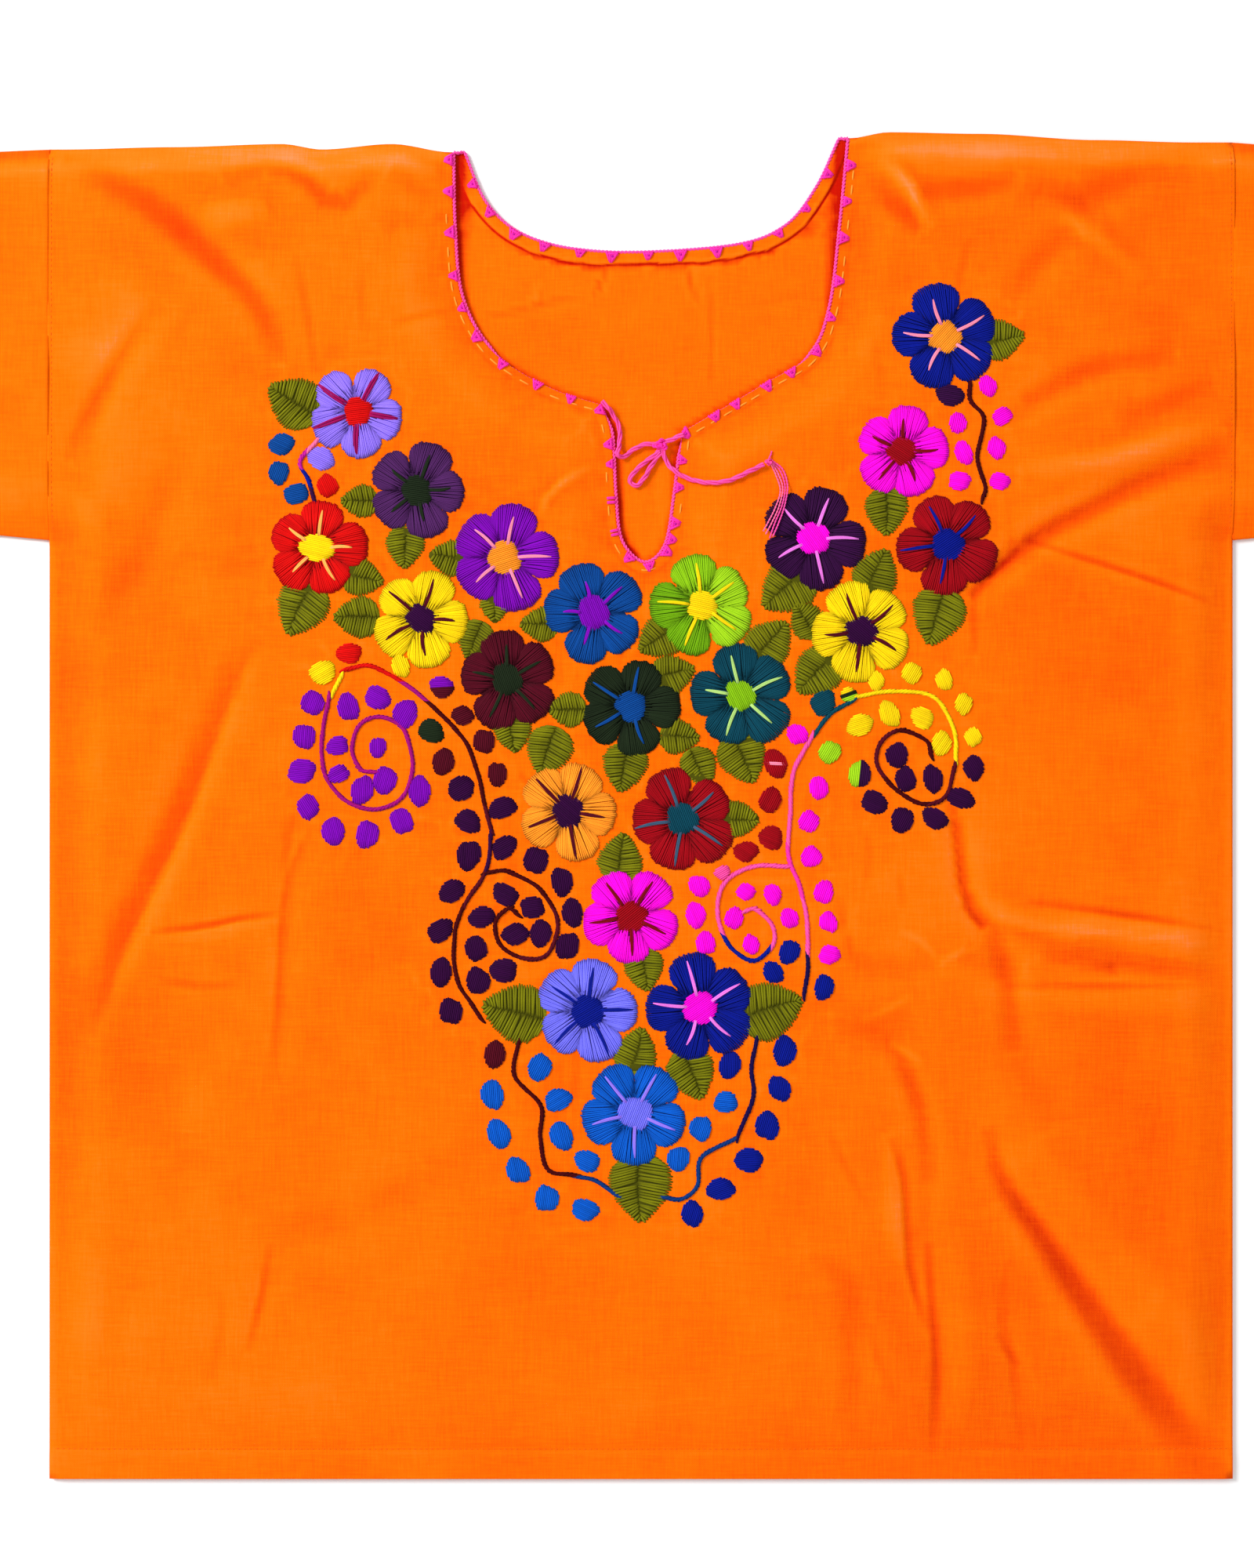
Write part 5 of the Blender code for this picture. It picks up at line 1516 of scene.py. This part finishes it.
# In a berry's colours, "/" parts its bands and "+" stands before a stitch across it
def layBerry(threads, middle, colours, size, turned):
    base, _, slash = colours.partition("+")
    bands = base.split("/")
    lean = rng.uniform(-0.6, 0.6) + (math.pi / 2 if rng.random() < 0.6 else 0.0)
    along = pointing(lean if turned is None else math.radians(turned))
    across = crosswise(along)
    longHalf = berryStitch["halfLong"] * size * rng.uniform(0.92, 1.12)
    wideHalf = berryStitch["halfWide"] * size * rng.uniform(0.88, 1.06)
    angles = (np.arange(10) * math.tau / 10)[:, None]
    rim = np.cos(angles) * along * longHalf * 0.84 + np.sin(angles) * across * wideHalf * 0.86
    layPad(threads, middle, middle + rim, 0.4, yarnColours[bands[0]])
    layOval(threads, middle, along, longHalf, wideHalf, berryStitch, bands)
    if slash:
        line = middle + np.linspace(-1, 1, 5)[:, None] * (across * 0.9 + along * 0.35) * wideHalf
        crest = berryStitch["rise"] * np.array([0.3, 1.0, 1.28, 1.0, 0.3])
        for shift in (-0.5, 0.5):
            layThread(threads, line + along * shift, 0.6, crest, np.array(yarnColours[slash]))


berryThreads = newThreads()
for spot, colours, size, lean in berryPlaces():
    layBerry(berryThreads, spot, colours, size, lean)
berryPiece = threadPiece("berryStitches", berryThreads, stitchYarn)


vineStitch = {"step": 2.4, "halfLength": 3.1, "slant": 0.95, "halfWidth": 0.95, "rise": 1.15, "wander": 0.3}


def layVine(threads, vine):
    line = curveThrough(placedAll(vine.points), vineStitch["step"])
    aside = sideways(line)
    count = len(line)
    shares = np.array([-1.0, -0.55, 0.0, 0.55, 1.0])
    drift = vineStitch["wander"] * softNoise(line[:, 0], line[:, 1], 9.0, 53)
    for i in range(count):
        colour = yarnColours[vine.colours[int(i / count * len(vine.colours))]]
        along = -crosswise(aside[i])
        spot = line[i] + aside[i] * (drift[i] + rng.uniform(-0.15, 0.15))
        strand = spot + shares[:, None] * (along * vineStitch["halfLength"] + aside[i] * vineStitch["slant"])
        crest = vineStitch["rise"] * np.array([0.3, 0.85, 1.0, 0.85, 0.3]) + rng.uniform(-0.05, 0.05)
        # A random tone for each stitch, with painted shade at both its ends
        shades = rng.uniform(0.88, 1.06) * np.array([0.6, 0.95, 1.04, 0.95, 0.6])
        width = vineStitch["halfWidth"] * np.array([0.6, 0.95, 1.0, 0.95, 0.6])
        layThread(threads, strand, width, crest, colour, shades)


vineThreads = newThreads()
for vine in vines:
    layVine(vineThreads, vine)
vinePiece = threadPiece("vineStitches", vineThreads, stitchYarn)


# The neck's edging: a plied cord along the edge, and picots that point into the cloth
def pliedCord(line, radius, plies, pitch, sides, colour, plyShare, seed):
    radius = np.broadcast_to(radius, len(line))[:, None]
    along = lengthsAlong(line)
    wide = np.column_stack([sideways(line), np.zeros(len(line))])
    high = np.array([0.0, 0.0, 1.0])
    noise = np.random.default_rng(seed)
    vertices, faces, tints = [], [], []
    angles = (np.arange(sides) * math.tau / sides)[None, :, None]
    ring = np.cos(angles) * wide[:, None, :] + np.sin(angles) * high
    for ply in range(plies):
        turn = math.tau * (along / pitch + ply / plies)[:, None]
        core = line + (np.cos(turn) * wide + np.sin(turn) * high) * radius * (1 - plyShare)
        tube = core[:, None, :] + ring * (radius * plyShare)[:, None]
        vertices.append(tube.reshape(-1, 3))
        level = noise.uniform(0.94, 1.06) * (0.92 + 0.14 * noise.random(len(line)))
        tints.append(np.repeat(np.outer(level, colour), sides, axis=0))
        first, last = ply * len(line) * sides, ((ply + 1) * len(line) - 1) * sides
        for start in range(first, last, sides):
            joinRings(faces, start, start + sides, sides)
        faces += [tuple(range(first + sides - 1, first - 1, -1)), tuple(range(last, last + sides))]
    return np.vstack(vertices), faces, np.vstack(tints)


def cordPiece(name, parts):
    faces, shift = [], 0
    for spots, around, tint in parts:
        faces += [tuple(i + shift for i in face) for face in around]
        shift += len(spots)
    mesh = newMesh(name, np.vstack([spots for spots, around, tint in parts]), faces)
    addTint(mesh, np.vstack([tint for spots, around, tint in parts]))
    made = finished(name, mesh, edgeYarn)
    print(name + ":", len(made.data.polygons), "faces")
    return made


edging = {
    "radius": 1.15,
    "offset": 0.9,
    "frontLevel": 2.75,
    "cornerRise": 0.4,
    "sink": 0.35,
    "step": 0.9,
    "plyShare": 0.56,
    "pitch": 4.6,
    "picotBase": 3.3,
    "picotDepth": 5.2,
    "picotRise": 1.25,
}
hiddenEdge = (((655, 468), (762, 514)), ((880, 545), (1000, 462)))  # there the cord turns under the cloth
frontPicots = (
    (571, 204), (571, 245), (578, 296), (588, 351), (597, 389), (614, 427), (643, 461), (688, 487),
    (729, 501), (766, 524), (774, 566), (775, 594), (777, 637), (783, 682), (803, 714), (829, 716),
    (846, 703), (852, 690), (861, 667), (866, 622), (870, 587), (870, 552), (906, 524), (935, 505),
    (973, 487), (1005, 466), (1036, 441), (1053, 401), (1061, 360), (1073, 304), (1081, 260), (1090, 213),
)
barPicots = ((777, 637), (783, 682))
backPicots = (
    (601, 236), (623, 274), (653, 301), (695, 316), (739, 323), (781, 326), (826, 325), (868, 322),
    (912, 318), (955, 309), (995, 295), (1028, 264), (1056, 224),
)


def nearRun(line, run, reach=13.0):
    ends = placedAll(run)
    return distanceTo(line[:, 0], line[:, 1], np.vstack([ends[0], ends[1]])) < reach


def edgeCord(path, radius, seed):
    return pliedCord(path, radius, 2, edging["pitch"], 6, yarnColours["pink"], edging["plyShare"], seed)


def makeEdgings():
    line = evenly(frontNeck, edging["step"])
    hidden = np.zeros(len(line))
    for run in hiddenEdge:
        hidden = np.maximum(hidden, nearRun(line, run).astype(float))
    soft = np.convolve(np.pad(hidden, 6, mode="edge"), np.ones(13) / 13, mode="valid")
    offset = edging["offset"] * (1 - soft) - 0.15 * soft
    plan = line + sideways(line) * offset[:, None]
    level = frontTop(line[:, 0], line[:, 1]) - edging["sink"] - 0.45 * soft
    frontPath = np.column_stack([plan, level])
    front = cordPiece("frontEdging", [edgeCord(frontPath, edging["radius"] * (1 - 0.62 * soft), 2)])
    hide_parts("edging_front")
    line = evenly(backNeck, edging["step"])
    radius = edging["radius"] * 0.95
    plan = line + sideways(line) * (edging["offset"] - 0.3)
    level = np.maximum(backTop(line[:, 0], line[:, 1]) - edging["sink"], radius * 1.1)
    backPath = np.column_stack([plan, level])
    parts = [edgeCord(backPath, radius, 4)]
    for end in (0, -1):  # the cord carries on over the shoulder, from the front's edge to the back's
        start, stop = frontPath[end], backPath[end]
        over = (start + stop) / 2 + np.array([0.0, -0.6, edging["cornerRise"]])
        parts.append(edgeCord(curveThrough([start, over, stop], 0.7), edging["radius"], 8 + end))
    back = cordPiece("backEdging", parts)
    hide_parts("edging_back")
    return front, back


def layPicot(threads, spot, line, size, bars):
    at = int(np.hypot(line[:, 0] - spot[0], line[:, 1] - spot[1]).argmin())
    edge, into = line[at], -sideways(line)[at]  # into the cloth
    along = -crosswise(into)
    base, depth = edging["picotBase"] * size, edging["picotDepth"] * size
    colour, rise = yarnColours["hotPink"], edging["picotRise"] * size
    shares = np.array([0.0, 0.35, 0.75, 1.0])[:, None]
    if bars:  # a pair of stitches side by side in place of the triangle
        crest = rise * np.array([0.75, 1.0, 0.9, 0.3])
        for place in (-1.9, -1.1, 0.9, 1.7):
            strand = edge + along * place * size - into * 0.6 + into * (depth + 0.6) * shares
            layThread(threads, strand, 0.55 * size, crest, colour, rng.uniform(0.9, 1.08))
        return
    apex = edge + into * depth + along * rng.uniform(-0.9, 0.9)
    crest = rise * np.array([0.75, 1.0, 0.9, 0.25])
    for k in (-1.0, -0.6, -0.1, 0.45, 1.0):
        start = edge + along * base * k * rng.uniform(0.9, 1.1) - into * 0.6
        strand = start + (apex + along * k * 0.45 - start) * shares * rng.uniform(0.86, 1.04)
        layThread(threads, strand, 0.66 * size, crest, colour, rng.uniform(0.88, 1.08))
    bar = edge + into * 0.7 + along * np.linspace(-base, base, 5)[:, None]
    layThread(threads, bar, 0.8 * size, rise * np.array([0.5, 1.05, 1.15, 1.05, 0.5]), colour)
    knot = edge + into * depth * 0.4 + along * np.linspace(-1.0, 1.0, 3)[:, None]
    layThread(threads, knot, 0.75 * size, rise * np.array([0.9, 1.4, 0.9]), yarnColours["orchid"], 1.1)


def makePicots():
    made = []
    for name, spots, line, heightAt, bars in (
        ("frontPicots", frontPicots, frontNeck, frontTop, barPicots),
        ("backPicots", backPicots, backNeck, backTop, ()),
    ):
        threads = newThreads()
        for spot in spots:
            layPicot(threads, placed(*spot), line, rng.uniform(0.84, 1.12), spot in bars)
        made.append(threadPiece(name, threads, edgeYarn, heightAt))
    return made


# Running stitches along the neck between the picots, and the stitch lines of the hems
runningStitch = {"inset": 4.1, "length": 6.4, "every": 10.6, "halfWidth": 0.6, "rise": 0.5}


def makeRunningStitches():
    threads = newThreads()
    line = evenly(frontNeck, 1.0)
    inner = line - sideways(line) * runningStitch["inset"]
    clear = distanceTo(inner[:, 0], inner[:, 1], frontNeck) > runningStitch["inset"] * 0.9
    picots = placedAll(frontPicots)
    place = 6
    while place < len(inner) - 8:
        part = inner[place : place + int(runningStitch["length"]) + 1]
        beside = np.hypot(picots[:, 0] - part[2, 0], picots[:, 1] - part[2, 1]).min() > 5.5
        if clear[place : place + len(part)].all() and beside:
            shares = np.linspace(0, 1, len(part))
            crest = runningStitch["rise"] * np.interp(shares, [0, 0.3, 0.7, 1], [0.0, 1, 1, 0.0])
            shade = rng.uniform(0.95, 1.05)
            layThread(threads, part, runningStitch["halfWidth"], crest, yarnColours["stitchOrange"], shade)
        place += int(runningStitch["every"] + rng.integers(-1, 2))
    return threadPiece("runningStitches", threads, stitchYarn)


hemStitch = {"inset": 18.2, "armholeInset": 2.2, "length": 2.3, "every": 3.4, "halfWidth": 0.3, "rise": 0.3}


def laySeam(threads, level, first, last, upright=True, bow=0.0):
    crest = np.array([-0.05, hemStitch["rise"], -0.05])
    for start in np.arange(first, last, hemStitch["every"]):
        along = start + hemStitch["length"] * np.array([0.0, 0.5, 1.0])
        columns = [level + np.array([0.0, bow, 0.0]), along]
        strand = np.column_stack(columns if upright else columns[::-1])
        layThread(threads, strand, hemStitch["halfWidth"], crest, yarnColours["seamOrange"])


def makeSeams():
    hem, cuffs, armholes = newThreads(), newThreads(), newThreads()
    level = cut["hemY"] + hemStitch["inset"]
    laySeam(hem, level, 4 - cut["halfWidth"], cut["halfWidth"] - 5, upright=False, bow=0.05)
    for side in (-1, 1):
        x = side * (cut["cuffX"] - hemStitch["inset"])
        laySeam(cuffs, x, float(underarmAt(x)) + 3, float(shoulderAt([x])[0]) - 4)
        x = side * (cut["halfWidth"] - hemStitch["armholeInset"])
        laySeam(armholes, x, cut["underarmY"] + 6, float(shoulderAt([x])[0]) - 5)
    hemPiece = threadPiece("hemStitches", hem, stitchYarn)
    threadPiece("cuffStitches", cuffs, stitchYarn, sleeveTop)
    return hemPiece, threadPiece("armholeStitches", armholes, stitchYarn)


frontEdging, backEdging = makeEdgings()
frontPicotPiece, backPicotPiece = makePicots()
runningPiece = makeRunningStitches()
hemPiece, armholePiece = makeSeams()


# The tie: one cord from the slit's left through the knot to the bow, and one from its right to the free end
tie = {
    "diameter": 3.0,
    "plies": 3,
    "plyShare": 0.46,
    "pitch": 24.0,
    "step": 0.8,
    "knotSize": (10.6, 8.4, 4.8),
    "tasselHead": 4.4,
    "threadRadius": 0.58,
    "overFlower": 2.0,  # how much higher the tie lies where a flower is under it
    "flowerReach": 33.0,
}
knotPlace = (843, 568)
leftCord = (
    (768, 513, 0.6), (780, 526, 0.3), (790, 545, 0.0), (790, 568, 0.0), (788, 580, 0.0), (795, 583, 0.1),
    (809, 573, 0.5), (823, 567, 0.9), (836, 567, 1.0), (842, 571, 1.0), (836, 580, 0.6), (821, 591, 0.2),
    (807, 605, 0.0), (804, 615, 0.0), (813, 619, 0.0), (823, 608, 0.1), (831, 594, 0.3), (843, 577, 0.8),
)
rightCord = (
    (872, 555, 0.2), (860, 560, 0.6), (848, 565, 1.0), (846, 574, 1.0), (851, 590, 0.4), (864, 604, 0.1),
    (884, 613, 0.1), (907, 617, 0.0), (931, 614, 0.0), (953, 604, 0.2), (974, 594, 0.6),
)
tasselHead = (980, 591)
tasselThreads = (
    ((984, 591), (995, 602), (1001, 622), (997, 646), (988, 668), (981, 688)),
    ((984, 592), (992, 605), (998, 624), (993, 648), (984, 668), (976, 683)),
    ((984, 589), (998, 600), (1004, 621), (1000, 647), (992, 670), (985, 686)),
    ((983, 594), (989, 606), (995, 627), (988, 650), (979, 668), (973, 679)),
    ((980, 588), (983, 581), (984, 577)),
)
edgeLine = evenly(frontNeck, 1.2) + sideways(evenly(frontNeck, 1.2)) * edging["offset"]


def topUnder(x, y):  # what the tie rests on
    level = np.where(isInside(x, y, frontOutline), frontTop(x, y), backTop(x, y))
    onEdge = distanceTo(x, y, edgeLine) < edging["radius"]
    level = np.where(onEdge, np.maximum(level, edging["frontLevel"] + edging["radius"]), level)
    apart = np.hypot(x[:, None] - flowerSpots[:, 0], y[:, None] - flowerSpots[:, 1]).min(1)
    return level + np.where(apart < tie["flowerReach"], tie["overFlower"], 0.0)


def restingLine(route, radius, step):  # rests on what is under it all around, and spans the hollows
    plan = curveThrough(route, step)
    spots = [np.zeros(2)] + [pointing(k * math.tau / 8) * radius for k in range(8)]
    under = np.max([topUnder(plan[:, 0] + dx, plan[:, 1] + dy) for dx, dy in spots], axis=0)
    heights = under + radius + plan[:, 2]
    for _ in range(8):
        ends = np.concatenate([heights[:1], heights, heights[-1:]])
        heights = np.maximum(heights, (ends[:-2] + ends[2:]) / 2)
    return np.column_stack([plan[:, :2], heights])


def turnedPlan(x, y, degrees):
    along = pointing(math.radians(degrees))
    return np.column_stack([x * along[0] - y * along[1], x * along[1] + y * along[0]])


def wrappedKnot(place, size, strand, tilt, colour, seed):  # a trefoil of yarn with one turn around it
    t, angles = np.linspace(0, math.tau, 121), np.linspace(0, math.tau, 33)
    flat = turnedPlan((np.sin(t) + 2 * np.sin(2 * t)) / 3, (np.cos(t) - 2 * np.cos(2 * t)) / 3, tilt)
    half = np.array(size) / 2 - strand
    line = np.column_stack([flat * half[:2], -np.sin(3 * t) * half[2]])
    ring = turnedPlan(0.0, np.cos(angles) * half[1] * 0.9, tilt)
    ring = np.column_stack([ring, np.sin(angles) * half[2] * 0.95])
    return [
        pliedCord(line + place, strand, 2, 7.0, 6, colour, 0.58, seed),
        pliedCord(ring + place, strand * 0.8, 2, 5.0, 6, colour, 0.58, seed + 1),
    ]


def lengthOf(line):
    return float(lengthsAlong(line)[-1])


def makeTieCord(name, points, seed):
    radius = tie["diameter"] / 2
    route = np.array([(*placed(x, y), lift) for x, y, lift in points])
    line = restingLine(route, radius, tie["step"])
    cord = pliedCord(line, radius, tie["plies"], tie["pitch"], 7, yarnColours["pink"], tie["plyShare"], seed)
    return cordPiece(name, [cord]), line


def makeTieEnds():
    x, y = placed(*knotPlace)
    middle = np.array([x, y, cut["wall"] + cut["seamGap"] + tie["knotSize"][2] / 2 + 0.6])
    knot = cordPiece("tieKnot", wrappedKnot(middle, tie["knotSize"], 1.25, 35, yarnColours["hotPink"], 12))
    x, y = placed(*tasselHead)
    size = tie["tasselHead"] * np.array([1.25, 1.05, 1.0])
    head = np.array([x, y, float(topUnder(np.array([x]), np.array([y]))[0]) + size[2] / 2])
    endKnot = cordPiece("tieEndKnot", wrappedKnot(head, size, 0.8, 20, yarnColours["pink"], 18))
    parts = []
    for index, points in enumerate(tasselThreads):
        route = np.column_stack([placedAll(points), np.zeros(len(points))])
        line = restingLine(route, tie["threadRadius"], 1.0)
        line[:4, 2] = np.maximum(line[:4, 2], np.linspace(head[2], line[4, 2], 4))
        tint = yarnColours["rose"] if index % 2 else yarnColours["pink"]
        parts.append(pliedCord(line, tie["threadRadius"], 2, 4.0, 5, tint, 0.6, 30 + index))
    return knot, endKnot, cordPiece("tieTassel", parts)


leftPiece, leftLine = makeTieCord("tieCordLeft", leftCord, 6)
rightPiece, rightLine = makeTieCord("tieCordRight", rightCord, 9)
knotPiece, endKnotPiece, tasselPiece = makeTieEnds()
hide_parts("tie_strand_left", "tie_bow")
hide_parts("tie_strand_right", "tie_free_end")
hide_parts("tie_knot")
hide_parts("tie_tassel")
for piece, line, ends in (
    (leftPiece, leftLine, [knotPiece]),
    (rightPiece, rightLine, [endKnotPiece, tasselPiece]),
):
    print(piece.name, "is", round(lengthOf(line)), "mm long")


onFront = [petals, hearts, leafPiece, berryPiece, vinePiece]
onFront += [frontEdging, frontPicotPiece, runningPiece, hemPiece, armholePiece]


# Floor, light and camera
studio = {
    "floorSize": 24.0,
    "worldStrength": 0.57,
    "keyPower": 160.0,
    "keyPlace": (-2.7, 1.7, 2.3),
    "keySize": 1.4,
    "fillPower": 30.0,
    "fillPlace": (1.6, -2.6, 2.8),
    "fillSize": 2.6,
}
view = {"lens": 50.0, "sensor": 36.0, "middle": (800, 1000), "tall": 2000, "eyeLevel": 0.003}


def makeStudio():
    bpy.ops.object.select_all(action="DESELECT")
    bpy.ops.mesh.primitive_plane_add(size=studio["floorSize"], location=(0, 0, -0.0006))
    floor = bpy.context.object
    floor.name = "studioFloor"
    bpy.ops.object.transform_apply(location=True, rotation=True, scale=True)
    material, tree, shader, vector = newMaterial("pale floor")
    grain = addNoise(tree, vector, 40.0, 3.0)
    colour = addRamp(tree, grain, ((0.0, srgb(247, 247, 247)), (1.0, srgb(250, 250, 250))))
    tree.links.new(colour, shader.inputs["Base Color"])
    setInputs(shader, {"Roughness": 0.9, "Specular IOR Level": 0.1})
    floor.data.materials.append(material)
    world = bpy.data.worlds.new("soft room")
    world.use_nodes = True
    values = {"Color": (1, 1, 1, 1), "Strength": studio["worldStrength"]}
    setInputs(world.node_tree.nodes["Background"], values)
    bpy.context.scene.world = world
    for name in ("key", "fill"):
        lamp = bpy.data.lights.new(name + "Light", "AREA")
        lamp.energy = studio[name + "Power"]
        lamp.shape = "SQUARE"
        lamp.size = studio[name + "Size"]
        holder = bpy.data.objects.new(name + "Light", lamp)
        holder.location = studio[name + "Place"]
        holder.rotation_euler = (-Vector(studio[name + "Place"])).to_track_quat("-Z", "Y").to_euler()
        bpy.context.scene.collection.objects.link(holder)


def makeCamera():
    data = bpy.data.cameras.new("camera")
    data.lens, data.sensor_width = view["lens"], view["sensor"]
    camera = bpy.data.objects.new("camera", data)
    x, y = placed(*view["middle"])
    tall = view["tall"] * chart["step"] * mm
    camera.location = (x * mm, y * mm, view["eyeLevel"] + tall * view["lens"] / view["sensor"])
    bpy.context.scene.collection.objects.link(camera)
    bpy.context.scene.camera = camera


makeStudio()
makeCamera()
scene = bpy.context.scene
scene.view_settings.view_transform = "Standard"
scene.view_settings.look = "None"
scene.view_settings.exposure = 0.0
scene.view_settings.gamma = 1.0
print("studio and camera made")
